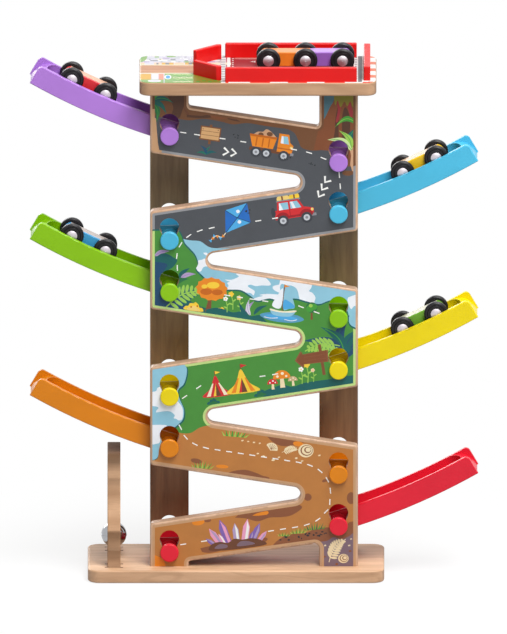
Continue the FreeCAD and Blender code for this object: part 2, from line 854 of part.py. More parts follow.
def bevelled(block, half_width):
    rims = edges_where(block, lambda edge: lies_at(edge, "Y", half_width)
                       or lies_at(edge, "Y", -half_width))
    return block.makeChamfer(body_bevel, rims)


def axle_bores(places):
    return [rod_y(axle_radius + running_gap, x, 0, -body_width, body_width) for x in places]


def make_single_body():
    half = wheel_base / 2
    block = bevelled(car_block(-half, half, body_width / 2), body_width / 2)
    return block.cut(axle_bores((-half, half)))


def make_fork_body():
    """Front half of the double car: a fork at its right end straddles the middle axle."""
    block = bevelled(car_block(-wheel_base, 0, body_width / 2), body_width / 2)
    half_slot = tongue_width / 2 + moving_gap
    slot = joined([rod_y(body_end_radius + moving_gap, 0, 0, -half_slot, half_slot),
                   box(0, 2 * body_end_radius, -half_slot, half_slot, -body_height, body_height)])
    return block.cut([slot] + axle_bores((-wheel_base, 0)))


def make_tongue_body():
    """Rear half of the double car: its tongue turns on the middle axle."""
    block = bevelled(car_block(0, wheel_base, body_width / 2), body_width / 2)
    half_tongue = tongue_width / 2
    hollow = rod_y(body_end_radius + moving_gap, 0, 0, -body_width, body_width)
    tongue = car_block(0, wheel_base, half_tongue)
    return joined([block.cut(hollow), tongue]).cut(axle_bores((0, wheel_base)))


def on_ramp(shape, level):
    """Moves a car's piece onto a ramp; cars on left-hand ramps are mirror images."""
    angle = math.radians(car_angle)
    axle_arc = floor_radius - wheel_radius - moving_gap
    arm = math.sqrt(axle_arc ** 2 - (wheel_base / 2) ** 2)
    place = on_arc(arm, angle)
    moved = shape.copy()
    moved.rotate(Vector(0, 0, 0), Vector(0, 1, 0), -car_angle)
    moved.translate(place + Vector(0, 0, level * level_pitch))
    return moved if outer_side(level) > 0 else mirrored_x(moved)


def on_deck(shape):
    return shape.translated(Vector(double_car_x, 0, deck_top + wheel_radius + moving_gap))


# Writing the pieces

def write(name, shape):
    shape.exportStep("parts/" + name + ".step")


def write_tower():
    write("base", make_base())
    write("base_screws", make_base_screws())
    write("front_panel", make_front_panel())
    write("rear_post_left", make_rear_post(-1))
    write("rear_post_right", make_rear_post(1))
    write("deck", make_deck())
    write("deck_dowels", make_deck_dowels())
    write("rail_front", make_rail())
    write("rail_rear", mirrored_y(make_rail()))
    write("funnel_front", make_funnel())
    write("funnel_rear", mirrored_y(make_funnel()))
    write("end_stop", make_end_stop())
    write("rail_pins", make_rail_pins())


def write_ramps():
    right_ramp = make_right_ramp()
    for level, colour in enumerate(level_colours):
        ramp = right_ramp if outer_side(level) > 0 else mirrored_x(right_ramp)
        write("ramp_" + colour, ramp.translated(Vector(0, 0, level * level_pitch)))
        write("ramp_" + colour + "_pegs", make_pegs(level))


def write_gate():
    write("finish_gate", make_finish_gate())
    write("bell_hook", make_bell_hook())
    write("bell_link", make_bell_link())
    write("bell_shell", make_bell_shell())
    write("bell_pellet", make_bell_pellet())


def write_ramp_car(colour, level):
    half = wheel_base / 2
    write(colour + "_car_body", on_ramp(make_single_body(), level))
    for end, x in (("front", -half), ("rear", half)):
        axle = Part.makeCompound(make_axle(x))
        wheels = Part.makeCompound(make_wheel_pair(x))
        write(colour + "_car_" + end + "_axle", on_ramp(axle, level))
        write(colour + "_car_" + end + "_wheels", on_ramp(wheels, level))


def write_double_car():
    write("double_car_orange_body", on_deck(make_fork_body()))
    write("double_car_purple_body", on_deck(make_tongue_body()))
    for end, x in (("front", -wheel_base), ("middle", 0), ("rear", wheel_base)):
        write("double_car_" + end + "_axle", on_deck(Part.makeCompound(make_axle(x))))
        write("double_car_" + end + "_wheels", on_deck(Part.makeCompound(make_wheel_pair(x))))


os.makedirs("parts", exist_ok=True)
write_tower()
write_ramps()
write_gate()
for car_colour, ramp_level in (("green", 2), ("blue", 3), ("yellow", 4), ("red", 5)):
    write_ramp_car(car_colour, ramp_level)
write_double_car()
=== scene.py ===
import math
import random

import bmesh
import bpy
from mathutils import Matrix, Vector
from mathutils.geometry import delaunay_2d_cdt


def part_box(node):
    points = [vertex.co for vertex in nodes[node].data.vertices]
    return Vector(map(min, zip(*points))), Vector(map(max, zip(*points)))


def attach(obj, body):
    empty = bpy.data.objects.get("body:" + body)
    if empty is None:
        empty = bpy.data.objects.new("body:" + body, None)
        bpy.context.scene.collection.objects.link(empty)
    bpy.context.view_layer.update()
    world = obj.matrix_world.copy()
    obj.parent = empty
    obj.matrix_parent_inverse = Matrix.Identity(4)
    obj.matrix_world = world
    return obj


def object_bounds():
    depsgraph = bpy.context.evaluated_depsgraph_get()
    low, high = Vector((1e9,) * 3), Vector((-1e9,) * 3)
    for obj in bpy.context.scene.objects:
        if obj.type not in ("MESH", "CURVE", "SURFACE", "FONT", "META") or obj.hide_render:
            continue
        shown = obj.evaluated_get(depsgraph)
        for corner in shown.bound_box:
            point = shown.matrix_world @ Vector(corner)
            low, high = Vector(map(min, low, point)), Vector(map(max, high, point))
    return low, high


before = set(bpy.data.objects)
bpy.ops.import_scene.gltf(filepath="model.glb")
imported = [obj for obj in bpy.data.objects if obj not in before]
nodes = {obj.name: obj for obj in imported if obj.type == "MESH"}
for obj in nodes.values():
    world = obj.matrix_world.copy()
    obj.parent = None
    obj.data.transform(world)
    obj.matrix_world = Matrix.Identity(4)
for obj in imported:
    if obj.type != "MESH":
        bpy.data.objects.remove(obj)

# Looks of a wooden toy car ramp: a printed zig-zag board, six plastic ramps, painted cars
# and a chrome bell. Lengths are in metres; a drawing's own sizes are in millimetres.

MM = 0.001
cad_low, cad_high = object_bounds()

# View of the photograph
PHOTO_WIDTH = 507
PHOTO_HEIGHT = 634
MM_PER_PIXEL = 1.04
TOWER_MIDDLE_COLUMN = 254.0
BASE_FRONT_ROW = 583.45      # row of the base's lower front edge
VIEW_ELEVATION = math.radians(15)
VIEW_DISTANCE = 3.0

# Ramps, from the bottom up, and the cars that wait on them
RAMP_COLOURS = ("red", "orange", "yellow", "green", "blue", "purple")
CAR_LEVELS = {"green": 2, "blue": 3, "yellow": 4, "red": 5}
CAR_TILT = math.radians(25.3)

# Paints and inks, as 0 to 255
PAINT = {
    "red": (221, 30, 52),
    "orange": (216, 127, 12),
    "yellow": (231, 208, 8),
    "green": (133, 189, 6),
    "blue": (74, 178, 213),
    "purple": (169, 119, 205),
}
CAR_PAINT = {
    "red": (214, 44, 52),
    "yellow": (228, 184, 30),
    "green": (106, 160, 44),
    "blue": (62, 156, 208),
    "orange": (226, 120, 34),
    "purple": (142, 92, 178),
}
CAR_TOP = {
    "red": (226, 178, 150),
    "yellow": (222, 190, 160),
    "green": (200, 196, 168),
    "blue": (206, 194, 186),
    # painted light: the deck cars' tops are their paint made paler where light falls on them
    "orange": (232, 146, 96),
    "purple": (180, 142, 206),
}
FITTING_RED = (211, 13, 13)
MORTISE_GAP_SHADE = (98, 58, 42)
INK_SPECK = (236, 214, 186)
RUBBER_TONES = (20, 19, 21), (36, 34, 37)
WIRE_STEEL = (205, 205, 208)
SCREW_ZINC = (186, 188, 192)
BELL_CHROME = (172, 174, 178)
CAP_STEEL = (206, 198, 204)

# Wood tones, each a light and a dark one
BOARD = (215, 174, 139), (186, 144, 109)
DECK = (190, 152, 119), (164, 125, 93)
GATE = (232, 189, 152), (196, 153, 118)
PANEL = (212, 175, 146), (182, 144, 114)
POST = (153, 130, 94), (113, 92, 67)
RAW = (226, 196, 152), (204, 168, 122)

# Painted light and shade: what a wood's tones are multiplied by on its upward faces and towards the posts'
# feet
# painted light: the base's upward faces are made lighter
BOARD_TOP_PAINTED_LIGHT = (1.06, 1.1, 1.1, 1)
# painted shade: the deck's upward faces are made darker and warmer
DECK_TOP_PAINTED_SHADE = (0.95, 0.8, 0.76, 1)
# painted reflected light: the posts turn redder towards their feet
POST_FOOT_PAINTED_REFLECTION = (1.06, 0.84, 0.82, 1)
POST_REFLECTION_SPAN = (480 * MM, 120 * MM)        # from where to where it sets in

PLY_THICK = 1.86 * MM

# Painted shade on the gate: darker on its foot, above its arch and on its upward faces, standing in for the
# shadow of the ramp above and the shade near the base
GATE_FOOT_SPAN = (54 * MM, 50 * MM)
GATE_UPPER_SPAN = (100 * MM, 127 * MM)
GATE_PAINTED_HEIGHT_SHADE = 0.58
GATE_PAINTED_TOP_SHADE = 0.4

# Painted shade of the mortise gaps in the base beside the gate's feet
MARK_HALF_LENGTH = 9.6 * MM
MARK_LINES = (27.0 * MM, 41.0 * MM)
MARK_HALF_WIDTH = 2.3 * MM
MARK_FADE = 0.3 * MM
BASE_TOP_SPAN = (12 * MM, 13 * MM)           # marks lie above this


def linear(colour):
    """Scene colour of a 0 to 255 screen colour."""
    values = []
    for level in colour:
        share = level / 255
        if share > 0.04045:
            share = ((share + 0.055) / 1.055) ** 2.4
        else:
            share /= 12.92
        values.append(share)
    return (*values, 1.0)


def shaded(colour, share):
    return tuple(min(255, level * share) for level in colour)


# Small builders for node trees

class Nodes:
    """Short calls that build a node tree."""

    def __init__(self, tree):
        self.tree = tree
        tree.nodes.clear()

    def add(self, kind, given, **settings):
        """New node; each given value is a socket to link or a plain value, by its input."""
        node = self.tree.nodes.new(kind)
        for key, value in settings.items():
            setattr(node, key, value)
        for key, value in given.items():
            self.feed(node.inputs[key], value)
        return node

    def feed(self, target, value):
        if hasattr(value, "is_output"):
            self.tree.links.new(value, target)
        else:
            target.default_value = value

    def made(self, kind, output, given, **settings):
        """One output of a new node."""
        return self.add(kind, given, **settings).outputs[output]

    def maths(self, operation, a, b=0.0):
        return self.made("ShaderNodeMath", "Value", {0: a, 1: b}, operation=operation)

    def times(self, a, b):
        return self.maths("MULTIPLY", a, b)


class Finish(Nodes):
    """A material whose nodes end in one Principled shader."""

    def __init__(self, name, metallic=0.0, coat=0.0, coat_roughness=0.1, specular=0.3):
        self.material = bpy.data.materials.new(name)
        self.material.use_nodes = True
        super().__init__(self.material.node_tree)
        self.shader = self.add("ShaderNodeBsdfPrincipled", {
            "Metallic": metallic, "Specular IOR Level": specular, "Coat Weight": coat,
            "Coat Roughness": coat_roughness,
        })
        self.add("ShaderNodeOutputMaterial", {"Surface": self.shader.outputs["BSDF"]})
        coordinates = self.add("ShaderNodeTexCoord", {}).outputs
        self.place = coordinates["Object"]
        self.facing = coordinates["Normal"]          # in the piece's own axes

    def coordinate(self, axis):
        return self.made("ShaderNodeSeparateXYZ", axis, {"Vector": self.place})

    def noise(self, scale, detail=3, roughness=0.6, distortion=0.0, vector=None):
        return self.made("ShaderNodeTexNoise", "Fac", {
            "Vector": vector or self.place, "Scale": scale, "Detail": detail,
            "Roughness": roughness, "Distortion": distortion,
        })

    def streaks(self, scales, detail=3, roughness=0.6, distortion=0.0, turn=(0, 0, 0)):
        """Noise with its own scale on each axis."""
        drawn_out = {"Vector": self.place, "Scale": scales, "Rotation": turn}
        vector = self.made("ShaderNodeMapping", "Vector", drawn_out)
        return self.noise(1, detail, roughness, distortion, vector)

    def spread(self, value, low, high, new_low=0.0, new_high=1.0):
        return self.made("ShaderNodeMapRange", "Result", {
            "Value": value, "From Min": low, "From Max": high, "To Min": new_low, "To Max": new_high,
        }, clamp=True)

    def blended(self, share, a, b, blend="MIX"):
        given = {"Factor": share, 6: a, 7: b}
        return self.made("ShaderNodeMix", 2, given, data_type="RGBA", blend_type=blend)

    def mottled(self, share, colour, low, high):
        """A colour that wanders between two shades of itself."""
        return self.blended(share, linear(shaded(colour, low)), linear(shaded(colour, high)))

    def lined(self, base, lines, depth, colour):
        return self.blended(self.times(lines, depth), base, linear(colour))

    def tinted(self, base, share, tint):
        return self.blended(share, base, self.blended(1.0, base, tint, "MULTIPLY"))

    def towards(self, direction):
        """How far the surface faces a direction, from -1 to 1."""
        given = {0: self.facing, 1: direction}
        return self.made("ShaderNodeVectorMath", "Value", given, operation="DOT_PRODUCT")

    def colour(self, source):
        self.feed(self.shader.inputs["Base Color"], source)

    def roughness(self, source, low, high, end=0.7):
        self.feed(self.shader.inputs["Roughness"], self.spread(source, 0.3, end, low, high))

    def bump(self, height, strength, depth):
        given = {"Height": height, "Strength": strength, "Distance": depth}
        self.feed(self.shader.inputs["Normal"], self.made("ShaderNodeBump", "Normal", given))


UP = (0, 0, 1)


def axis_vector(axis, long_scale=1.0, cross_scale=0.0):
    """One value on the named axis and another on the two across it."""
    return tuple(long_scale if letter == axis else cross_scale for letter in "XYZ")


# Finishes

def wood(name, tones, grain, plies_across=None, gloss=0.42, figure_depth=0.38, foot_painted_reflection=None, top_painted_lighting=None,
         gate_box=None):
    """Lacquered wood with growth rings, pores and darker end grain; grain names an axis. Its optional tints
    are painted light and shade.
    """
    light, dark = tones
    finish = Finish(name, coat=0.08, coat_roughness=0.25)
    figure = finish.streaks(axis_vector(grain, 3.2, 26), 2, 0.45, 0.6)
    ring_lines = finish.spread(finish.maths("SINE", finish.times(figure, 62)), 0.35, 1.0)
    broad = finish.streaks(axis_vector(grain, 9, 95), 3, 0.55)
    pores = finish.streaks(axis_vector(grain, 60, 1500), 2)
    pore_lines = finish.spread(pores, 0.58, 0.78)
    base = finish.blended(finish.spread(broad, 0.3, 0.72), linear(light), linear(dark))
    base = finish.lined(base, ring_lines, figure_depth, shaded(dark, 0.9))
    base = finish.lined(base, pore_lines, 0.35, shaded(dark, 0.78))
    ends = finish.maths("ABSOLUTE", finish.towards(axis_vector(grain)))
    speckle = finish.streaks((700, 700, 700), 3, 0.7)
    end_tone = finish.blended(speckle, linear(shaded(light, 0.93)), linear(shaded(dark, 0.8)))
    base = finish.blended(finish.spread(ends, 0.75, 0.95), base, end_tone)
    if plies_across:
        base = plied(finish, base, dark, plies_across)
    # painted reflected light: redder towards the foot
    if foot_painted_reflection:
        base = finish.tinted(base, finish.spread(finish.coordinate("Z"), *POST_REFLECTION_SPAN), foot_painted_reflection)
    # painted light and shade on the upward faces
    if top_painted_lighting:
        base = finish.tinted(base, finish.spread(finish.towards(UP), 0.5, 0.9), top_painted_lighting)
    # painted shade of the mortise gaps beside the gate's feet
    if gate_box:
        base = painted_mortise_shade(finish, base, *gate_box)
    finish.colour(base)
    finish.roughness(pores, gloss, gloss + 0.14, 0.8)
    finish.bump(finish.maths("ADD", finish.times(pore_lines, -0.7), finish.times(broad, 0.5)), 0.25, 0.0004)
    return finish.material


def plied(finish, base, dark, axis):
    """Glued layers on the edges of a plywood board whose faces look along the axis."""
    depth = finish.maths("DIVIDE", finish.coordinate(axis), 2 * PLY_THICK)
    odd_layer = finish.spread(finish.maths("PINGPONG", depth, 0.5), 0.22, 0.28)
    on_face = finish.maths("ABSOLUTE", finish.towards(axis_vector(axis)))
    return finish.lined(base, odd_layer, finish.spread(on_face, 0.9, 0.5, 0.0, 0.42), shaded(dark, 0.82))


def painted_mortise_shade(finish, base, low, high):
    """Painted shade: dark lines where the cutter relieved the corners of the gate's mortises, standing in
    for the shade in those gaps.
    """
    across = finish.maths("SUBTRACT", finish.coordinate("X"), (low.x + high.x) / 2)
    ends = MARK_HALF_LENGTH + MARK_FADE, MARK_HALF_LENGTH - MARK_FADE
    along = finish.spread(finish.maths("ABSOLUTE", across), *ends)
    depth = finish.maths("ABSOLUTE", finish.coordinate("Y"))
    marks = 0.0
    for line in MARK_LINES:
        away = finish.maths("ABSOLUTE", finish.maths("SUBTRACT", depth, line))
        marks = finish.maths("MAXIMUM", finish.spread(away, MARK_HALF_WIDTH, MARK_HALF_WIDTH * 0.4), marks)
    on_top = finish.spread(finish.coordinate("Z"), *BASE_TOP_SPAN)
    return finish.lined(base, finish.times(along, marks), finish.times(on_top, 0.8), MORTISE_GAP_SHADE)


def banded_wood(name, tones):
    """Short-grained board: growth bands lie across it and show on every edge. It also carries painted shade
    on its foot, above its arch and on its upward faces.
    """
    light, dark = tones
    finish = Finish(name, specular=0.12)
    height = finish.coordinate("Z")
    sway = finish.streaks((18, 14, 30), 2, 0.5)
    band = finish.maths("SINE", finish.maths("ADD", finish.times(height, 150), finish.times(sway, 9)))
    fine = finish.streaks((60, 60, 900))
    broad = finish.streaks((5, 5, 34), 2, 0.5)
    base = finish.blended(finish.spread(broad, 0.32, 0.66), linear(light), linear(dark))
    base = finish.lined(base, finish.spread(band, 0.3, 1.0), 0.3, shaded(dark, 0.9))
    base = finish.lined(base, finish.spread(fine, 0.5, 0.75), 0.3, shaded(dark, 0.82))
    # painted shade: darker on the foot, above the arch and on the upward faces
    for share, shade in (
        (finish.spread(height, *GATE_FOOT_SPAN), GATE_PAINTED_HEIGHT_SHADE),
        (finish.spread(height, *GATE_UPPER_SPAN), GATE_PAINTED_HEIGHT_SHADE),
        (finish.spread(finish.towards(UP), 0.2, 0.7), GATE_PAINTED_TOP_SHADE),
    ):
        base = finish.tinted(base, share, (shade, shade * 0.98, shade * 0.96, 1))
    finish.colour(base)
    finish.roughness(fine, 0.62, 0.76, 0.8)
    finish.bump(fine, 0.2, 0.0003)
    return finish.material


def gloss_plastic(name, colour):
    """Injection-moulded plastic: even colour, faint flow marks and a very fine grain."""
    finish = Finish(name, coat=0.08, coat_roughness=0.14, specular=0.24)
    flow = finish.streaks((14, 30, 22))
    finish.colour(finish.mottled(finish.spread(flow, 0.3, 0.7), colour, 0.965, 1.02))
    finish.roughness(finish.noise(90), 0.3, 0.38)
    finish.bump(finish.noise(120, 2, 0.5), 0.05, 0.0004)
    return finish.material


def board_paint(name, colour):
    """Sprayed gloss paint on fine fibreboard, with a slight orange peel."""
    finish = Finish(name, coat=0.1, coat_roughness=0.16, specular=0.24)
    finish.colour(finish.mottled(finish.noise(38), colour, 0.96, 1.03))
    finish.roughness(finish.noise(160), 0.28, 0.42)
    finish.bump(finish.noise(300, 2, 0.5), 0.08, 0.0003)
    return finish.material


def car_block(name, side_colour, top_colour, upward, bare_top):
    """Wooden car body with painted sides; the top is bare wood, or on the deck cars the side paint made
    paler as painted light on the top.
    """
    finish = Finish(name, coat=0.1, coat_roughness=0.18)
    grain_turn = (0, -math.atan2(upward[0], upward[2]), 0)
    grain = finish.streaks((60, 900, 900), turn=grain_turn)
    side = finish.mottled(finish.noise(60), side_colour, 0.94, 1.04)
    top = finish.mottled(finish.spread(grain, 0.35, 0.7), top_colour, 1, 0.82 if bare_top else 0.94)
    finish.colour(finish.blended(finish.spread(finish.towards(upward), 0.86, 0.93), side, top))
    finish.roughness(grain, 0.32, 0.5)
    finish.bump(grain, 0.14, 0.0003)
    return finish.material


def wheel_rubber(name):
    """Near-black turned plastic with fine lathe marks and a dusting of dull spots."""
    finish = Finish(name, coat=0.03, coat_roughness=0.3, specular=0.24)
    dust = finish.noise(420, 4, 0.65)
    finish.colour(finish.blended(finish.spread(dust, 0.35, 0.75), *map(linear, RUBBER_TONES)))
    finish.roughness(dust, 0.34, 0.52)
    finish.bump(finish.noise(500, 2), 0.08, 0.0002)
    return finish.material


def metal(name, colour, roughness, scratch_scale, wander=0.08):
    """Bare metal with fine wandering scratches; its roughness wanders upwards."""
    finish = Finish(name, metallic=1.0)
    scratches = finish.streaks((scratch_scale, scratch_scale * 9, scratch_scale * 5), 3, 0.7)
    finish.colour(finish.mottled(scratches, colour, 0.93, 1.04))
    finish.roughness(scratches, roughness, roughness + wander)
    finish.bump(scratches, 0.05, 0.0002)
    return finish.material


def printed_ink(name, depth=1.0):
    """Screen-printed colour: the sheet's own ink, slightly uneven, under a satin varnish."""
    finish = Finish(name, coat=0.06, coat_roughness=0.22, specular=0.25)
    ink = finish.made("ShaderNodeAttribute", "Color", {}, attribute_name="ink")
    wear = finish.noise(55, 4)
    low, high = 0.93 * depth, 1.05 * depth
    uneven = finish.blended(finish.spread(wear, 0.25, 0.75), (low, low, low, 1), (high, high, high, 1))
    tone = finish.blended(1.0, ink, uneven, "MULTIPLY")
    finish.colour(finish.lined(tone, finish.spread(finish.noise(1100, 2), 0.62, 0.8), 0.05, INK_SPECK))
    finish.roughness(wear, 0.36, 0.48)
    finish.bump(wear, 0.05, 0.0002)
    return finish.material


def dress(material, *names):
    for name in names:
        for slot in nodes[name].material_slots:
            slot.material = material


def dress_tower():
    gate_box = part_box("finish_gate")
    board = wood("board_lacquer", BOARD, "X", figure_depth=0.3, top_painted_lighting=BOARD_TOP_PAINTED_LIGHT, gate_box=gate_box)
    dress(board, "base")
    dress(wood("deck_lacquer", DECK, "X", figure_depth=0.3, top_painted_lighting=DECK_TOP_PAINTED_SHADE), "deck")
    dress(banded_wood("gate_lacquer", GATE), "finish_gate")
    dress(wood("panel_plywood", PANEL, "Z", "Y"), "front_panel")
    post = wood("post_lacquer", POST, "Z", figure_depth=0.18, foot_painted_reflection=POST_FOOT_PAINTED_REFLECTION)
    dress(post, "rear_post_left", "rear_post_right")
    dress(wood("raw_dowel", RAW, "Z", gloss=0.62), "deck_dowels", "rail_pins")
    fittings = ("rail_front", "rail_rear", "funnel_front", "funnel_rear", "end_stop")
    dress(board_paint("fitting_paint", FITTING_RED), *fittings)
    dress(metal("wire_polish", WIRE_STEEL, 0.2, 300), "bell_hook", "bell_link", "bell_pellet")
    dress(metal("screw_zinc", SCREW_ZINC, 0.34, 500), "base_screws")
    dress(metal("bell_chrome_polish", BELL_CHROME, 0.1, 120, 0.06), "bell_shell")


def dress_ramps():
    for colour in RAMP_COLOURS:
        plastic = gloss_plastic("plastic_" + colour, PAINT[colour])
        dress(plastic, "ramp_" + colour, "ramp_" + colour + "_pegs")


def dress_cars():
    dress(wheel_rubber("wheel_rubber"), *(name for name in nodes if name.endswith("_wheels")))
    cap = metal("cap_satin", CAP_STEEL, 0.36, 260, 0.12)
    dress(cap, *(name for name in nodes if name.endswith("_axle")))
    for colour, level in CAR_LEVELS.items():
        side = 1 if level % 2 == 0 else -1
        upward = (-side * math.sin(CAR_TILT), 0, math.cos(CAR_TILT))
        block = car_block("block_" + colour, CAR_PAINT[colour], CAR_TOP[colour], upward, True)
        dress(block, colour + "_car_body")
    for colour in ("orange", "purple"):
        block = car_block("block_" + colour, CAR_PAINT[colour], CAR_TOP[colour], UP, False)
        dress(block, "double_car_" + colour + "_body")


# Printed sheets. A drawing is a list of (outline, ink); later ones lie on earlier ones.

INK = {
    "road": (74, 77, 82), "kerb": (142, 143, 146), "spot": (42, 44, 48), "rock": (110, 72, 46),
    "rock_dark": (80, 52, 38), "rock_light": (198, 154, 118), "canyon": (124, 72, 44),
    "field": (70, 136, 56), "field_dark": (40, 106, 62), "navy": (30, 70, 104), "bush": (24, 92, 90),
    "leaf": (66, 150, 56), "leaf_light": (150, 196, 84), "leaf_pale": (196, 218, 150),
    # sky_painted_deck_shade is the print's darker sky, darkened further as painted shadow of the deck
    "sky": (138, 190, 210), "sky_deep": (84, 150, 184), "sky_painted_deck_shade": (74, 110, 122),
    "cloud": (230, 234, 240), "earth": (181, 119, 61), "earth_dark": (134, 82, 54),
    "earth_deep": (104, 64, 44), "mauve": (122, 100, 112), "border_green": (186, 212, 130),
    "border_tan": (192, 150, 112), "white": (238, 238, 234), "cream": (238, 226, 196),
    "bone": (234, 214, 174), "bone_shade": (196, 168, 126), "straw": (232, 200, 116),
    "orange": (224, 132, 36), "orange_dark": (188, 98, 26), "red": (202, 44, 48),
    "red_dark": (150, 30, 38), "yellow": (238, 198, 60), "blue": (38, 104, 184),
    "blue_light": (76, 164, 218), "lilac": (170, 150, 190), "pink": (228, 156, 190),
    "purple": (126, 98, 172), "tyre": (58, 60, 66), "grey": (132, 134, 140),
    "grey_light": (190, 194, 200), "trunk": (122, 76, 46), "board": (206, 162, 112),
    "maroon": (150, 50, 56), "asphalt": (102, 103, 107), "coral": (216, 130, 102),
    "kerb_red": (226, 62, 46), "salmon": (236, 150, 128), "peach": (236, 200, 170),
    "mist": (206, 204, 216), "ochre": (214, 168, 76), "olive": (130, 122, 40), "moss": (134, 172, 104),
}

SHEET_THICK = 0.10 * MM
SHEET_LIFT = 0.01 * MM


def ellipse(x, y, rx, ry, points, turn=0.0, start=0.0, end=360.0):
    """Outline of an ellipse, or of the part of it between two angles."""
    outline = []
    whole = end - start >= 360
    steps = points if whole else points + 1
    turn = math.radians(turn)
    for step in range(steps):
        angle = math.radians(start + (end - start) * step / points)
        u = rx * math.cos(angle)
        v = ry * math.sin(angle)
        outline.append((x + u * math.cos(turn) - v * math.sin(turn),
                        y + u * math.sin(turn) + v * math.cos(turn)))
    return outline


def oblong(x0, x1, y0, y1):
    return [(x0, y0), (x1, y0), (x1, y1), (x0, y1)]


def between(before, a, b, after, steps):
    """Smooth run of points from a to b."""
    run = []
    for step in range(steps):
        t = step / steps
        run.append(tuple(
            0.5 * (2 * q + (r - p) * t + (2 * p - 5 * q + 4 * r - s) * t * t
                   + (3 * q - p - 3 * r + s) * t * t * t)
            for p, q, r, s in zip(before, a, b, after)))
    return run


def curved(points, steps=5):
    """Smooth closed outline through the points."""
    count = len(points)
    outline = []
    for index in range(count):
        outline += between(
            points[index - 1], points[index], points[(index + 1) % count], points[(index + 2) % count],
            steps,
        )
    return outline


def flowing(points, steps=5):
    """Smooth open line through the points."""
    line = []
    for index in range(len(points) - 1):
        line += between(
            points[max(index - 1, 0)], points[index], points[index + 1],
            points[min(index + 2, len(points) - 1)], steps,
        )
    return line + [points[-1]]


def blob(x, y, rx, ry, seed, rough, points=30):
    """Irregular rounded patch."""
    draw = random.Random(seed)
    phases = [draw.uniform(0, math.tau) for _ in range(3)]
    outline = []
    for step in range(points):
        angle = math.tau * step / points
        swell = 1 + rough * (math.sin(2 * angle + phases[0]) + 0.6 * math.sin(3 * angle + phases[1])
                             + 0.4 * math.sin(5 * angle + phases[2]))
        outline.append((x + rx * swell * math.cos(angle), y + ry * swell * math.sin(angle)))
    return outline


def stroke(points, width):
    """Outline of a line of the given width through the points."""
    left = []
    right = []
    for index, (x, y) in enumerate(points):
        ahead = points[min(index + 1, len(points) - 1)]
        behind = points[max(index - 1, 0)]
        run = Vector((ahead[0] - behind[0], ahead[1] - behind[1])).normalized() * width / 2
        left.append((x - run.y, y + run.x))
        right.append((x + run.y, y - run.x))
    return left + right[::-1]


def moved(outline, x, y, turn, size=1.0):
    """An outline drawn about the origin, put in its place."""
    c = math.cos(math.radians(turn)) * size
    s = math.sin(math.radians(turn)) * size
    return [(x + u * c - v * s, y + u * s + v * c) for u, v in outline]


def placed(drawing, x, y, turn=0.0, size=1.0):
    return [(moved(outline, x, y, turn, size), ink) for outline, ink in drawing]


def flipped(drawing):
    return [([(-x, y) for x, y in outline], ink) for outline, ink in drawing]


def placed_all(*rows):
    """Several drawings, each with its x, y, turn and size."""
    return [shape for row in rows for shape in placed(*row)]


# Shapes with their ink

def oval(ink, x, y, rx, ry=None, turn=0.0, points=12, **part):
    return ellipse(x, y, rx, rx if ry is None else ry, points, turn, **part), ink


def bar(ink, x0, x1, y0, y1):
    return oblong(x0, x1, y0, y1), ink


def rounded(ink, points, steps=4):
    return curved(points, steps), ink


def patch(ink, points, steps=5):
    """Smooth along its points, with its two ends joined straight."""
    return flowing(points, steps), ink


def streak(ink, width, points):
    return stroke(points, width), ink


# Motifs, drawn about the origin with a length of one

def broad_leaf(ink, rib, rise, width=0.3):
    """Pointed leaf that arches upwards from the origin along X."""
    upper = []
    lower = []
    middle = []
    for step in range(11):
        t = step / 10
        arch = rise * math.sin(math.pi * t) - 0.12 * t * t
        half = width / 2 * math.sin(math.pi * min(1, 0.06 + 0.94 * t) ** 0.8)
        upper.append((t, arch + half))
        lower.append((t, arch - half))
        middle.append((t, arch))
    return [(upper + lower[:-1][::-1], ink), streak(rib, 0.022, middle[:-1])]


def fern(ink, pairs=7):
    """Arching stem with pairs of narrow leaflets."""
    stem = [(step / 12, 0.16 * math.sin(math.pi * step / 12 * 0.9)) for step in range(13)]
    shapes = [streak(ink, 0.03, stem)]
    for index in range(pairs):
        t = 0.16 + 0.8 * index / pairs
        root = (t, 0.16 * math.sin(math.pi * t * 0.9))
        length = 0.27 * math.sin(math.pi * (0.25 + 0.72 * t))
        for side in (-1, 1):
            blade = ellipse(length / 2, 0, length / 2, 0.042, 10)
            shapes.append((moved(blade, root[0], root[1], side * 58), ink))
    return shapes


def leaf_clump(spread, start, *inks):
    """Leaves that fan out from the origin, each with its ink and its rib's."""
    shapes = []
    for index, (ink, rib) in enumerate(inks):
        turn = start + spread * index / max(1, len(inks) - 1)
        leaf = broad_leaf(ink, rib, 0.16, 0.26)
        if turn > 90:
            leaf = [([(x, -y) for x, y in outline], colour) for outline, colour in leaf]
        shapes += placed(leaf, 0, 0, turn, 1 - 0.1 * (index % 2))
    return shapes


def bush(dark, light):
    back = curved([
        (-0.5, 0), (-0.48, 0.2), (-0.32, 0.24), (-0.24, 0.4), (-0.04, 0.42), (0.06, 0.5), (0.24, 0.38),
        (0.32, 0.22), (0.48, 0.2), (0.5, 0),
    ])
    front = curved([
        (-0.34, 0.02), (-0.3, 0.14), (-0.14, 0.2), (0.0, 0.3), (0.16, 0.2), (0.3, 0.14), (0.34, 0.02),
    ])
    return [(back, dark), (front, light)]


def round_tree():
    shapes = [([(-0.06, 0), (0.06, 0), (0.04, 0.5), (-0.04, 0.5)], "trunk")]
    crowns = (
        (0, 0.66, 0.3, "field_dark"), (-0.1, 0.6, 0.19, "leaf"), (0.12, 0.7, 0.17, "leaf"),
        (-0.05, 0.76, 0.1, "leaf_light"),
    )
    for x, y, r, ink in crowns:
        shapes.append(oval(ink, x, y, r, r * 0.95, points=20))
    return shapes


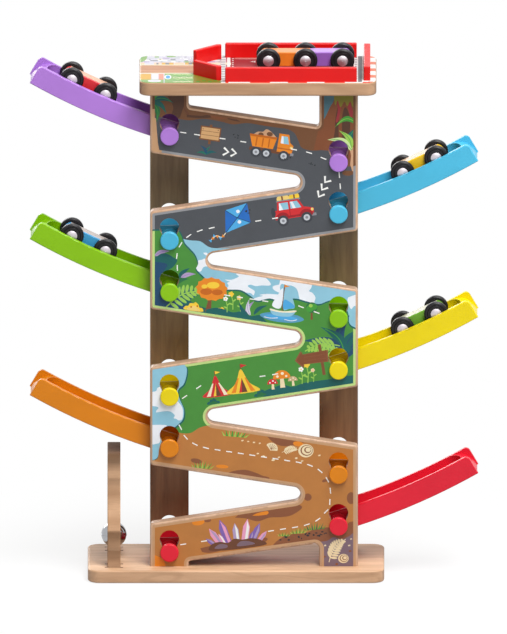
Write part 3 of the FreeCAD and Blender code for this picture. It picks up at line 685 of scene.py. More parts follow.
def grass(ink, other):
    blades = []
    for index in range(9):
        x = (index - 4) / 8
        rise = 0.46 - 0.055 * abs(index - 4) + 0.1 * (index % 2)
        blade = [(x - 0.06, 0), (x + 0.05, 0), (x * 1.45 + 0.05, rise)]
        blades.append((blade, other if index % 2 else ink))
    return blades


def tent(cloth, stripe, flag):
    shapes = [
        bar("trunk", -0.014, 0.014, 0.66, 0.9), ([(0.014, 0.9), (0.2, 0.84), (0.014, 0.78)], flag),
        rounded(cloth, [(-0.5, 0), (-0.2, 0.3), (0.0, 0.74), (0.2, 0.3), (0.5, 0)]),
    ]
    for x in (-0.3, 0.3):
        high = x * 0.35
        shapes.append((
            [(x - 0.07, 0.01), (x + 0.07, 0.01), (high + 0.02, 0.46), (high - 0.02, 0.46)], stripe,
        ))
    shapes += [
        ([(-0.13, 0.0), (0.13, 0.0), (0.0, 0.46)], "earth_deep"),
        ([(-0.13, 0.0), (-0.04, 0.0), (0.0, 0.46)], flag),
    ]
    return shapes


def mushroom(cap, spot):
    shapes = [
        ([(-0.13, 0), (0.13, 0), (0.09, 0.55), (-0.09, 0.55)], "bone"),
        oval(cap, 0, 0.48, 0.46, points=18, start=0, end=180),
    ]
    for x, y, r in ((-0.22, 0.62, 0.07), (0.05, 0.76, 0.08), (0.24, 0.6, 0.06)):
        shapes.append(oval(spot, x, y, r))
    return shapes


def flower(ink):
    shapes = []
    for k in range(5):
        a = math.tau * k / 5
        shapes.append(oval(ink, 0.3 * math.cos(a), 0.3 * math.sin(a), 0.22, points=10))
    return shapes + [oval("yellow", 0, 0, 0.16, points=10)]


def stem_flower(ink):
    shapes = [streak("leaf_light", 0.05, [(0, 0), (0.06, 0.5), (0, 0.9)])]
    for side in (-1, 1):
        leaf = moved(ellipse(0.14, 0, 0.14, 0.05, 10), 0.04, 0.4 + 0.1 * side, 90 - side * 60)
        shapes.append((leaf, "leaf_light"))
    return shapes + placed(flower(ink), 0, 0.98, 0, 0.34)


def pebbles(seed):
    draw = random.Random(seed)
    shapes = []
    for _ in range(6):
        r = draw.uniform(0.05, 0.12)
        x = draw.uniform(-0.5, 0.5)
        y = draw.uniform(-0.32, 0.32)
        shapes.append(oval("spot", x, y, r, r * 0.8, points=10))
    return shapes


def chevron():
    return [streak("white", 0.26, [(-0.35, 0.5), (0.3, 0.0), (-0.35, -0.5)])]


def wheel(x, y, r):
    return [
        oval("tyre", x, y, r, points=22), oval("grey_light", x, y, r * 0.58, points=18),
        oval("grey", x, y, r * 0.26),
    ]


def tipper():
    """Orange tipper lorry with a load of stones, seen from the side."""
    shapes = [
        rounded("rock_light", [
            (-0.4, 0.46), (-0.34, 0.58), (-0.22, 0.6), (-0.14, 0.67), (0.0, 0.6), (0.08, 0.48),
        ]),
        oval("rock", -0.25, 0.53, 0.06, 0.05), oval("rock", -0.06, 0.57, 0.07, 0.05),
        bar("earth_deep", -0.46, 0.46, 0.15, 0.23),
        ([(-0.5, 0.52), (-0.4, 0.24), (0.06, 0.24), (0.12, 0.52)], "orange"),
        ([(-0.5, 0.52), (-0.485, 0.47), (0.11, 0.47), (0.12, 0.52)], "orange_dark"),
    ]
    for x in (-0.34, -0.2, -0.06):
        shapes.append(bar("orange_dark", x, x + 0.03, 0.26, 0.46))
    shapes += [
        ([(0.15, 0.2), (0.49, 0.2), (0.5, 0.38), (0.42, 0.44), (0.37, 0.62), (0.15, 0.62)], "orange"),
        ([(0.21, 0.4), (0.4, 0.4), (0.345, 0.57), (0.21, 0.57)], "sky"),
        ([(0.21, 0.4), (0.28, 0.4), (0.25, 0.57), (0.21, 0.57)], "cloud"),
        bar("orange_dark", 0.15, 0.5, 0.27, 0.3), oval("straw", 0.46, 0.33, 0.035, 0.03),
        bar("grey", 0.46, 0.53, 0.15, 0.21),
    ]
    for x in (-0.3, -0.07, 0.32):
        shapes += wheel(x, 0.12, 0.12)
    return shapes


def roof_rack_car():
    """Red off-road car with bundles on its roof, seen from the side."""
    shapes = [
        rounded("straw", [(-0.34, 0.66), (-0.32, 0.78), (-0.18, 0.8), (-0.06, 0.76), (-0.05, 0.66)]),
        rounded("yellow", [(-0.04, 0.66), (0.0, 0.82), (0.12, 0.84), (0.2, 0.76), (0.18, 0.66)]),
        bar("trunk", -0.24, -0.2, 0.66, 0.79), bar("trunk", 0.06, 0.1, 0.66, 0.83),
        bar("grey", -0.38, 0.22, 0.63, 0.67),
        ([(-0.4, 0.38), (0.3, 0.38), (0.17, 0.64), (-0.36, 0.64)], "red"),
        ([(-0.34, 0.42), (-0.1, 0.42), (-0.1, 0.6), (-0.32, 0.6)], "sky"),
        ([(-0.05, 0.42), (0.22, 0.42), (0.13, 0.6), (-0.05, 0.6)], "sky"),
        ([(-0.34, 0.42), (-0.24, 0.42), (-0.29, 0.6), (-0.32, 0.6)], "cloud"),
        ([(0.0, 0.42), (0.08, 0.42), (0.02, 0.6), (-0.04, 0.6)], "cloud"),
        ([(-0.46, 0.18), (0.5, 0.18), (0.52, 0.36), (0.32, 0.42), (-0.46, 0.42)], "red"),
        bar("red_dark", -0.46, 0.5, 0.2, 0.25), bar("red_dark", -0.09, -0.075, 0.2, 0.42),
        bar("grey", 0.45, 0.56, 0.16, 0.23), oval("straw", 0.475, 0.33, 0.035, 0.04),
        oval("tyre", -0.49, 0.38, 0.055, 0.13, points=16),
    ]
    for x in (-0.28, 0.31):
        shapes.append(oval("red_dark", x, 0.19, 0.17, points=20, start=0, end=180))
        shapes += wheel(x, 0.14, 0.14)
    return shapes


def kite():
    """Blue kite with a ribbon tail."""
    shapes = [streak(
        "cream", 0.025, flowing([(-0.28, -0.3), (-0.42, -0.42), (-0.56, -0.36), (-0.72, -0.46)]),
    )]
    for x, y, turn in ((-0.42, -0.42, 30), (-0.58, -0.37, -20), (-0.7, -0.45, 40)):
        shapes += [
            (moved([(-0.07, 0.05), (0, 0), (-0.07, -0.05)], x, y, turn), "blue_light"),
            (moved([(0.07, 0.05), (0, 0), (0.07, -0.05)], x, y, turn), "orange"),
        ]
    tip, left, foot, right, heart = (0.4, 0.44), (-0.22, 0.32), (-0.3, -0.32), (0.42, -0.12), (0.08, 0.06)
    shapes += [
        ([tip, left, heart], "blue_light"), ([left, foot, heart], "blue"),
        ([foot, right, heart], "blue_light"), ([right, tip, heart], "blue"),
        streak("navy", 0.02, [tip, heart, foot]), streak("navy", 0.02, [left, heart, right]),
        oval("cloud", 0.12, 0.24, 0.05), oval("cloud", 0.12, -0.06, 0.05),
    ]
    return shapes


def autumn_tree():
    """Orange tree above two yellow bushes."""
    crown = []
    for step in range(26):
        angle = math.tau * step / 26
        r = 0.33 + (0.035 if step % 2 else 0.0)
        crown.append((0.06 + r * 1.05 * math.cos(angle), 0.56 + r * 0.8 * math.sin(angle)))
    shapes = [([(-0.02, 0.0), (0.12, 0.0), (0.09, 0.34), (0.02, 0.34)], "trunk"), (crown, "orange")]
    for x, y, rx, ry, ink in (
        (-0.06, 0.48, 0.14, 0.08, "orange_dark"), (0.2, 0.5, 0.13, 0.07, "orange_dark"),
        (0.08, 0.66, 0.15, 0.08, "yellow"), (-0.12, 0.6, 0.07, 0.05, "yellow"),
    ):
        shapes.append(oval(ink, x, y, rx, ry, 8, points=18))
    for x, width in ((-0.3, 0.42), (0.34, 0.36)):
        shapes += placed(bush("yellow", "straw"), x, -0.02, 0, width)
    for x, y in ((-0.36, 0.06), (-0.22, 0.1), (0.3, 0.07), (0.42, 0.05)):
        shapes.append(oval("orange_dark", x, y, 0.022, points=10))
    return shapes


def pond_boat():
    """Small boat with pale blue sails on a pond."""
    return [
        rounded("sky_deep", [
            (-0.62, 0.08), (-0.4, 0.18), (0.0, 0.2), (0.44, 0.18), (0.66, 0.06), (0.3, -0.06),
            (-0.3, -0.05),
        ], 5),
        rounded("blue_light", [(-0.5, 0.08), (-0.2, 0.14), (0.3, 0.13), (0.5, 0.06), (0.0, 0.0)], 5),
        streak("cloud", 0.02, flowing([(-0.5, 0.04), (-0.3, 0.02), (-0.1, 0.05)])),
        streak("cloud", 0.02, flowing([(0.1, 0.02), (0.3, 0.0), (0.46, 0.05)])),
        bar("trunk", -0.012, 0.018, 0.24, 1.06),
        rounded("sky", [
            (-0.34, 0.3), (-0.26, 0.14), (0.0, 0.1), (0.28, 0.14), (0.4, 0.32), (0.1, 0.27),
            (-0.12, 0.27),
        ]),
        rounded("cream", [
            (-0.34, 0.3), (-0.31, 0.25), (0.0, 0.22), (0.36, 0.26), (0.4, 0.32), (0.1, 0.27),
            (-0.12, 0.27),
        ]),
        rounded("sky", [(0.03, 0.34), (0.03, 1.02), (0.2, 0.8), (0.36, 0.42), (0.2, 0.35)]),
        rounded("blue_light", [(0.03, 0.34), (0.03, 0.6), (0.2, 0.56), (0.36, 0.42), (0.2, 0.35)]),
        rounded("cloud", [(-0.04, 0.36), (-0.04, 0.94), (-0.18, 0.7), (-0.3, 0.4)]),
        ([(0.0, 1.06), (0.16, 1.02), (0.0, 0.97)], "orange"),
    ]


def plank_board():
    """Blank board on a post."""
    shapes = [
        bar("trunk", -0.06, 0.06, -0.5, 0.46),
        ([(-0.5, -0.3), (0.48, -0.34), (0.5, 0.34), (-0.48, 0.38)], "trunk"),
        ([(-0.44, -0.24), (0.42, -0.28), (0.44, 0.28), (-0.42, 0.32)], "board"),
    ]
    for y in (-0.06, 0.13):
        shapes.append(streak("trunk", 0.02, [(-0.42, y), (0, y - 0.01), (0.42, y - 0.03)]))
    for x in (-0.36, 0.36):
        shapes.append(oval("trunk", x, 0.22, 0.025, points=8))
    return shapes


def arrow_board():
    """Blank pointed board on a post."""
    plank = [
        (-0.62, 0.0), (-0.38, 0.3), (-0.38, 0.17), (0.5, 0.2), (0.46, -0.2), (-0.38, -0.17),
        (-0.38, -0.3),
    ]
    shapes = [
        bar("trunk", 0.2, 0.3, -0.62, 0.42), (plank, "earth_dark"),
        (moved(plank, 0, 0, 0, 0.9), "canyon"),
    ]
    for y in (-0.07, 0.07):
        shapes.append(streak("earth_dark", 0.014, [(-0.32, y), (0.1, y * 0.8), (0.4, y * 1.1)]))
    return shapes


def crystal(ink, edge):
    prism = [(-0.13, 0), (0.13, 0), (0.13, 0.7), (0, 1.0), (-0.13, 0.7)]
    return [(prism, ink), ([(0.0, 0.02), (0.1, 0.02), (0.1, 0.68), (0.0, 0.95)], edge)]


def crystal_rock():
    """Pink and purple crystals that fan out of a low rock."""
    shapes = []
    for x, turn, size, ink, edge in (
        (-0.34, 48, 0.26, "purple", "lilac"), (-0.26, 30, 0.4, "pink", "lilac"),
        (0.34, -44, 0.28, "pink", "lilac"), (0.24, -28, 0.4, "purple", "lilac"),
        (-0.14, 14, 0.5, "purple", "pink"), (0.12, -13, 0.46, "pink", "white"),
        (0.0, 1, 0.4, "lilac", "white"), (-0.2, 24, 0.26, "pink", "white"),
        (0.2, -22, 0.24, "purple", "lilac"),
    ):
        shapes += placed(crystal(ink, edge), x, 0.04, turn, size)
    shapes += [
        rounded("earth_deep", [
            (-0.5, 0.0), (-0.44, 0.1), (-0.3, 0.13), (-0.16, 0.1), (-0.04, 0.16), (0.1, 0.13),
            (0.24, 0.14), (0.4, 0.1), (0.5, 0.0), (0.1, -0.03), (-0.3, -0.03),
        ], 5),
        rounded("mauve", [(-0.4, 0.02), (-0.3, 0.09), (-0.18, 0.06), (-0.2, 0.01)], 5),
        rounded("mauve", [(0.0, 0.02), (0.06, 0.1), (0.2, 0.09), (0.3, 0.03)], 5),
    ]
    return shapes


def spiral_shell():
    shapes = []
    for share, ink in (
        (1.0, "bone"), (0.8, "earth_dark"), (0.68, "bone"), (0.46, "earth_dark"), (0.34, "bone"),
    ):
        x = (1 - share) * 0.22
        shapes.append(oval(ink, x, x * 0.45, 0.5 * share, 0.45 * share, points=22))
    return shapes


def fan_shell():
    rim = []
    for index, angle in enumerate(range(10, 171, 10)):
        a = math.radians(angle)
        scallop = 1.0 + 0.05 * (index % 2)
        rim.append((0.5 * math.cos(a) * scallop, 0.5 * math.sin(a) * scallop))
    shapes = [([(0.08, -0.1), (0.0, -0.16), (-0.08, -0.1)] + rim[::-1], "bone")]
    for angle in (35, 58, 80, 102, 125, 148):
        a = math.radians(angle)
        shapes.append(streak("earth_dark", 0.03, [(0, -0.06), (0.42 * math.cos(a), 0.42 * math.sin(a))]))
    return shapes


def stone(ink, seed, flat=0.5):
    return [(blob(0, 0, 0.5, 0.5 * flat, seed, 0.08, 18), ink)]


# Outlines of a node's flat faces, and sheets cut to them

def merged_copy(node):
    mesh = bmesh.new()
    mesh.from_mesh(node.data)
    bmesh.ops.remove_doubles(mesh, verts=mesh.verts, dist=0.002 * MM)
    return mesh


def flat_loops(node, axis, level):
    """Edges of a node's flat face at a level on an axis, as loops of (u, v) in millimetres."""
    mesh = merged_copy(node)
    across = [k for k in range(3) if k != axis]
    near = 0.01 * MM
    flat = {face for face in mesh.faces if all(abs(vert.co[axis] - level) < near for vert in face.verts)}
    following = {}
    for face in flat:
        for loop in face.loops:
            twins = [other for other in loop.edge.link_faces if other in flat]
            if len(twins) == 1:
                following[loop.vert] = loop.link_loop_next.vert
    loops = []
    while following:
        start, vert = next(iter(following.items()))
        outline = [start]
        del following[start]
        while vert != start:
            outline.append(vert)
            vert = following.pop(vert)
        flat_outline = [(point.co[across[0]] / MM, point.co[across[1]] / MM) for point in outline]
        first = flat_outline.index(min(flat_outline))
        loops.append(flat_outline[first:] + flat_outline[:first])
    mesh.free()
    return sorted(loops, key=lambda loop: -abs(area(loop)))


def area(outline):
    total = 0.0
    for index, (x, y) in enumerate(outline):
        before = outline[index - 1]
        total += before[0] * y - x * before[1]
    return total / 2


def counterclockwise(outline):
    return outline if area(outline) > 0 else outline[::-1]


def inset(outline, distance):
    """The outline moved inwards, or outwards where the distance is negative."""
    outline = counterclockwise(outline)
    shifted = []
    for index, (x, y) in enumerate(outline):
        before = Vector(outline[index - 1])
        after = Vector(outline[(index + 1) % len(outline)])
        here = Vector((x, y))
        one = (here - before).normalized()
        two = (after - here).normalized()
        inward = Vector((-one.y - two.y, one.x + two.x)).normalized()
        reach = distance / max(0.3, inward.dot(Vector((-one.y, one.x))))
        shifted.append((x + inward.x * reach, y + inward.y * reach))
    return shifted


def triangles(outline, inner, holes, drawing, border, guides=()):
    """Cuts a drawing into triangles that each have one ink; guides only add edges."""
    shapes = [outline, inner] + holes + [shape for shape, ink in border + drawing]
    inked = len(shapes)
    shapes += guides
    inks = [ink for shape, ink in border + drawing]
    first_hole = 2
    first_border = first_hole + len(holes)
    first_ink = first_border + len(border)
    points = []
    faces = []
    for shape in shapes:
        shape = counterclockwise(shape)
        faces.append(list(range(len(points), len(points) + len(shape))))
        points += [Vector(point) for point in shape]
    made = delaunay_2d_cdt(points, [], faces, 1, 1e-4)
    corners, found, owners = made[0], made[2], made[5]
    sizes = [abs(area([corners[index] for index in face])) for face in found]
    owned = [0.0] * len(shapes)
    for size, owner in zip(sizes, owners):
        for index in set(owner):
            owned[index] += size
    # The triangulation fills some shapes on their outer side; their share is turned round.
    outer_side = set()
    for index, shape in enumerate(shapes):
        expected = abs(area(shape))
        if abs(owned[index] - expected) > abs(sum(sizes) - owned[index] - expected):
            outer_side.add(index)
    kept = []
    for face, owner in zip(found, owners):
        owner = set(owner) ^ outer_side
        if 0 not in owner or any(first_hole <= index < first_border for index in owner):
            continue
        low, high = (first_ink, inked) if 1 in owner else (first_border, first_ink)
        on_top = [index for index in owner if low <= index < high]
        if on_top:
            kept.append((tuple(face), inks[max(on_top) - first_border]))
    return corners, kept


def put_in_scene(name, data):
    holder = bpy.data.objects.new(name, data)
    bpy.context.scene.collection.objects.link(holder)
    return holder


def sheet_piece(name, corners, kept, place, material, body):
    """Thin printed sheet; place turns (u, v, lift) into a point of the scene."""
    used = sorted({index for face, ink in kept for index in face})
    order = {index: count for count, index in enumerate(used)}
    top = [place(corners[i][0], corners[i][1], SHEET_LIFT + SHEET_THICK) for i in used]
    back = [place(corners[i][0], corners[i][1], SHEET_LIFT) for i in used]
    count = len(used)
    faces = []
    inks = []
    edges = {}
    for face, ink in kept:
        face = tuple(order[index] for index in face)
        faces.append(face)
        inks.append(ink)
        for a, b in zip(face, face[1:] + face[:1]):
            edges[(a, b)] = ink
    for face, ink in list(zip(faces, inks)):
        faces.append(tuple(index + count for index in face[::-1]))
        inks.append("cream")
    for (a, b), ink in edges.items():
        if (b, a) not in edges:
            faces.append((b, a, a + count, b + count))
            inks.append(ink)
    mesh = bpy.data.meshes.new(name)
    mesh.from_pydata(top + back, [], faces)
    colours = mesh.color_attributes.new("ink", "FLOAT_COLOR", "CORNER")
    for polygon, ink in zip(mesh.polygons, inks):
        for corner in polygon.loop_indices:
            colours.data[corner].color = linear(INK[ink])
    mesh.materials.append(material)
    mesh.update()
    fixed = bmesh.new()
    fixed.from_mesh(mesh)
    bmesh.ops.recalc_face_normals(fixed, faces=fixed.faces)
    fixed.to_mesh(mesh)
    fixed.free()
    piece = put_in_scene(name, mesh)
    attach(piece, body)


def wavy(x0, x1, z0, z1, swing, waves, seed, steps):
    """Wandering line between two points."""
    draw = random.Random(seed)
    phase = draw.uniform(0, math.tau)
    points = []
    for step in range(steps + 1):
        share = step / steps
        swell = math.sin(share * math.tau * waves + phase)
        swell += 0.5 * math.sin(share * math.tau * waves * 2.3 + phase * 2)
        points.append((x0 + (x1 - x0) * share, z0 + (z1 - z0) * share + swing * swell))
    return points


# The front board's print. The bands run between notches that narrow by nine degrees.

BAND_PITCH = 84.0
LOWEST_BAND_Z = 48.9
BAND_SLOPE = math.tan(math.radians(9))
WIDE = 112                   # past the board's sides
PAST_HEAD = 540
BEND_STEPS = 14
TURN_START = 44.0            # where the road leaves a band's middle line
TURN_REACH = {5: 90.0, 4: 80.5, 3: 80.0, 2: 78.0, 1: 79.6}


def band_z(band, x, offset=0.0):
    """Height of a band's middle line; the offset is upwards."""
    lean = -BAND_SLOPE if band % 2 else BAND_SLOPE
    return LOWEST_BAND_Z + BAND_PITCH * band + lean * x + offset


def bend(a, b, c, d):
    """Points along a Bezier curve, without its last one."""
    run = []
    for step in range(BEND_STEPS):
        t = step / BEND_STEPS
        weights = ((1 - t) ** 3, 3 * t * (1 - t) ** 2, 3 * t * t * (1 - t), t ** 3)
        run.append(tuple(sum(w * p[k] for w, p in zip(weights, (a, b, c, d))) for k in range(2)))
    return run


def track_line():
    """Middle line of the road, from the top band's left end to the bottom band's left end."""
    line = []
    for band in (5, 4, 3, 2, 1, 0):
        side = 1 if band % 2 else -1
        start = -side * (100 if band == 5 else TURN_START)
        end = side * TURN_START if band else -100
        for step in range(60):
            x = start + (end - start) * step / 60
            line.append((x, band_z(band, x)))
        if band:
            far = side * TURN_REACH[band]
            middle = LOWEST_BAND_Z + BAND_PITCH * (band - 0.5)
            knee = side * (TURN_START + 24)
            line += bend(
                (end, band_z(band, end)), (knee, band_z(band, knee)), (far, middle + 20), (far, middle),
            )
            line += bend(
                (far, middle), (far, middle - 20), (knee, band_z(band - 1, knee)),
                (end, band_z(band - 1, end)),
            )
    return line


def below(line, level=0):
    return line + [(line[-1][0], level), (line[0][0], level)]


def above(line):
    return line + [(line[-1][0], PAST_HEAD), (line[0][0], PAST_HEAD)]


def spots(places, ink):
    """Flat ovals: (x, z, half length, half height, turn) each."""
    return [oval(ink, x, z, rx, rz, turn, points=20) for x, z, rx, rz, turn in places]


# White cloud drifts in the sky of the third band
SKY_DRIFTS = (
    [
        (-53.9, 343.7), (-50.8, 344.8), (-47.5, 339.8), (-46.2, 336.3), (-50.1, 336.6), (-53.1, 335),
        (-55.4, 331.1), (-59.2, 331.9), (-61, 336.6), (-60, 341.3), (-56.9, 343.2),
    ],
    [(-53.1, 351.1), (-48.7, 351.1), (-48.7, 348.3), (-51.1, 349.2)],
    [
        (-31, 322.4), (-23.4, 322.1), (-18.5, 324), (-15.7, 325.9), (-18.5, 328.1), (-15.7, 330),
        (-6.6, 328.4), (1, 327.1), (8.7, 325.6), (13.2, 323.2), (17.5, 317.7), (15.5, 315.8),
        (8.7, 316.1), (1.8, 315.3), (-3.5, 316.9), (-6.6, 315.3), (-3.2, 312.6), (0.7, 309.8),
        (-0.5, 305.3), (-3.2, 307.6), (-6.6, 308.2), (-12.7, 308.2), (-21.8, 308.2), (-27.9, 308.2),
        (-31, 310.6), (-26.4, 315.3), (-27.9, 318.5), (-24.9, 320),
    ],
    [
        (0.3, 302.2), (5.6, 303.8), (9.3, 304.9), (5.6, 305.8), (13.2, 306.9), (23.9, 306.3), (31.6, 305),
        (37.7, 302.7), (39.2, 296.3), (23.9, 295.6), (16.3, 300), (8.7, 300.6), (1.8, 296.3),
    ],
    [
        (27.7, 324), (33.1, 324), (40.7, 322.4), (48.3, 320.8), (54.4, 319.2), (60.2, 317.7),
        (59.3, 312.9), (57.2, 309.8), (60.8, 307.9), (63.9, 303.1), (62.8, 298.4), (62.1, 292.4),
        (54.4, 294), (48.3, 298.7), (46, 308.2), (43.8, 312.9), (39.2, 315.8), (33.1, 316.4),
        (28.8, 317.7), (27, 313.7), (27.7, 308.2), (20.9, 311), (19.7, 315.1), (26.2, 316.9),
    ],
    [
        (97.9, 303.1), (107.8, 305.8), (107.8, 295.6), (104, 293.7), (101, 290.5), (98.4, 295.2),
        (97.1, 300.3),
    ],
)


# White cloud drifts in the sky of the fourth band
LEFT_DRIFTS = (
    [
        (-WIDE, 201), (-102.4, 202), (-100.5, 205.4), (-97.9, 206.7), (-95.9, 203.3), (-90.7, 199.3),
        (-84.2, 195.3), (-78.8, 190.6), (-75.6, 186.4), (-74, 181.8), (-74, 175.1), (-75.4, 171.2),
        (-78.4, 170.8), (-81, 172.4), (-83.6, 173.1), (-82.3, 175.8), (-84.2, 178.4), (-88.1, 180.5),
        (-93.3, 180.5), (-98.5, 179.8), (-101.8, 179.4), (-101.1, 181.8), (-99.2, 184.2), (-102.4, 185.8),
        (-WIDE, 186.5),
    ],
    [
        (-WIDE, 165.7), (-95.9, 165.9), (-90.7, 165), (-93.3, 160.3), (-97.2, 154.9), (-97.6, 148),
        (-101.1, 145.5), (-WIDE, 143.9),
    ],
)


def ground(road, field, earth):
    """Road above, green hills under a sky in the middle, earth below, each in the ink given."""
    drawing = [bar(road, -WIDE, WIDE, 0, PAST_HEAD)]
    hills = flowing([
        (-WIDE, 376), (-93, 377), (-82, 379), (-75.5, 372), (-72, 362), (-66, 355), (-61, 349),
        (-58, 340), (-60, 334), (-53, 326), (-44, 318), (-30, 312), (-14, 311), (-4, 305), (4, 299.5),
        (16, 302), (28, 299), (42, 302), (56, 298.5), (68, 296), (80, 300), (92, 297), (98, 286),
        (100, 274), (WIDE, 268),
    ])
    sky = flowing([(-74, 366), (-66, 364.5), (-56, 363.5), (-47, 357.5), (-38, 356), (-20, 356)])
    drawing.append((sky + [(WIDE, 330), (WIDE, 250), (60, 270), (-70, 320)], "sky"))
    for drift in SKY_DRIFTS:
        drawing.append(patch("cloud", drift, 3))
    drawing.append((below(hills), "bush"))
    drawing.append((below([(x - 0.6, z - 1.6) for x, z in hills]), field))
    left_sky = flowing([
        (-WIDE, 236), (-80, 233), (-71, 229), (-70, 221), (-73, 210), (-79, 203), (-77, 193), (-73, 183),
        (-73.5, 173), (-78, 167), (-84, 162), (-94, 152), (-98, 142), (-101, 130), (-WIDE, 127),
    ])
    drawing.append(([(x + 1.3, z - 1.2) for x, z in left_sky], "bush"))
    drawing.append((left_sky, "sky"))
    for drift in LEFT_DRIFTS:
        drawing.append(patch("cloud", drift, 3))
    soil = flowing([
        (-84, 163), (-79, 158), (-72, 156.6), (-65, 157.5), (-58, 162), (-52, 164.4), (-46, 165.5),
        (-40, 167), (-30, 170), (-10, 175), (20, 180), (WIDE, 190),
    ])
    lake = flowing([(-84, 163), (-90, 153), (-97, 146), (-99, 138), (-101, 129), (-WIDE, 127)])
    drawing.append((lake[::-1] + soil + [(WIDE, 0), (-WIDE, 0)], earth))
    wall = flowing([
        (-WIDE, 505), (-102, 498), (-92, 497), (-80, 495.6), (-67, 493.8), (-52, 495.4), (-34, 492.3),
        (-22, 489.4), (-7, 490.8), (10, 488), (24, 486), (34, 484.5), (42, 480), (46, 472), (49, 465),
        (56, 461.8), (66, 461.2), (77, 463), (84, 455), (94, 446), (102, 444), (WIDE, 448),
    ])
    drawing.append((above(wall), "rock"))
    return drawing


def top_band():
    """Canyon wall with leaves over the road."""
    shapes = [(
        [(-WIDE, 500), (-102, 496), (-101, 482), (-100, 470), (-98.5, 461), (-WIDE, 452)], "border_tan",
    )]
    shapes.append(patch("rock_dark", [
        (-70, 497), (-52, 496), (-36, 497.5), (-20, 493), (-6, 492), (8, 491.5), (20, 488.5), (34, 487.5),
        (46, 492), (46, 512), (-70, 520),
    ]))
    for x, z, rx, rz, ink, seed in (
        (-58, 503, 11, 5, "rock", 3), (-33, 499, 12, 4.2, "canyon", 4), (-10, 496, 9, 4.5, "rock", 5),
        (14, 492, 10, 3.4, "canyon", 6), (32, 490, 7, 4, "rock", 8),
    ):
        shapes.append((blob(x, z, rx, rz, seed, 0.1), ink))
    shapes += [
        # painted shade: the sky under the deck is darkened as the deck's shadow
        bar("sky_painted_deck_shade", 64, WIDE, 486, PAST_HEAD),
        patch("canyon", [
            (68, 488), (74, 497), (79, 508), (83.5, 517), (86, 540), (100, 540), (102, 517), (104.5, 506),
            (107, 498), (WIDE, 490), (WIDE, 450), (84, 460), (62, 462),
        ]),
        patch("rock_dark", [(92, 464), (91.5, 484), (92, 500), (95, 508), (99, 500), (100, 486), (98, 452)]),
        patch("rock_dark", [
            (80, 462), (84, 482), (84.5, 494), (87, 508), (89, 506), (88, 490), (88, 470), (86, 462),
        ]),
        patch("maroon", [(86, 515), (87, 504), (85, 492), (88, 494), (90, 506), (91, 516)]),
        patch("maroon", [(97, 516), (98, 506), (101, 496), (103, 502), (101, 510), (101, 518)]),
        patch("olive", [
            (83, 519), (84.5, 510), (87, 515), (90, 508), (94, 514), (97, 509), (100, 514), (103, 508),
            (103.5, 519), (97, 524), (88, 524),
        ]),
        (
            [(99.5, 463), (101, 456), (100, 446), (103, 437), (108, 431), (WIDE, 431), (WIDE, 470)],
            "rock_light",
        ),
        patch("rock_dark", [(-90, 520), (-84, 508), (-86, 498), (-78, 496), (-74, 506), (-68, 520)]),
        streak("earth_deep", 2.2, flowing([(-66, 520), (-72, 508), (-68, 500)])),
    ]
    # the clump right under the deck is drawn in darker greens, partly the print's leaves and partly painted
    # shade of the deck
    leafage = (("field_dark", "leaf"), ("bush", "field_dark"), ("bush", "leaf"), ("leaf", "leaf_pale"))
    shapes += placed_all(
        (leaf_clump(110, -70, *leafage), -107, 514, 0, 23),
        (
            leaf_clump(70, 80, ("bush", "leaf"), ("leaf_light", "leaf"), ("leaf_pale", "leaf")), 101, 462,
            0, 27,
        ),
        (flipped(broad_leaf("leaf", "leaf_light", 0.3, 0.24)), 108, 489, 0, 24),
        (plank_board(), -45.5, 479, -6, 22),
        (
            leaf_clump(150, 15, ("bush", "navy"), ("bush", "leaf"), ("navy", "bush"), ("bush", "leaf")),
            -50, 457, 0, 11.5,
        ),
        (tipper(), 15, 452, -9, 47),
    )
    for step in range(2):
        x = -29 + step * 8
        shapes += placed(chevron(), x, band_z(5, x, -13.5), -9, 8.2)
    for x, z, turn in ((75.3, 429, -128), (72, 421, -124), (68.6, 413.6, -120)):
        shapes += placed(chevron(), x, z, turn, 8.2)
    for x, z, seed in ((-20, 477.5, 2), (35, 452.5, 4), (61, 446, 6)):
        shapes += placed(pebbles(seed), x, z, -9, 8)
    shapes += placed(stone("rock", 4), 98, 437, 0, 12)
    return shapes


def second_band():
    shapes = placed(kite(), -20, 386, 8, 38)
    shapes += placed(roof_rack_car(), 43, 381.5, 9, 42)
    shapes += placed(pebbles(9), -4, 396, 0, 9)
    return shapes


def jungle(x, z, size):
    """Large arching leaves beside a turn."""
    shapes = placed(
        leaf_clump(
            120, 30, ("navy", "bush"), ("bush", "navy"), ("navy", "bush"), ("bush", "leaf"),
            ("navy", "bush"),
        ),
        x, z, 0, size,
    )
    shapes += placed(flipped(fern("leaf_light")), x - size * 0.1, z + size * 0.28, 12, size * 0.8)
    shapes += placed(flipped(fern("leaf_light")), x, z + size * 0.02, -8, size * 0.75)
    return shapes


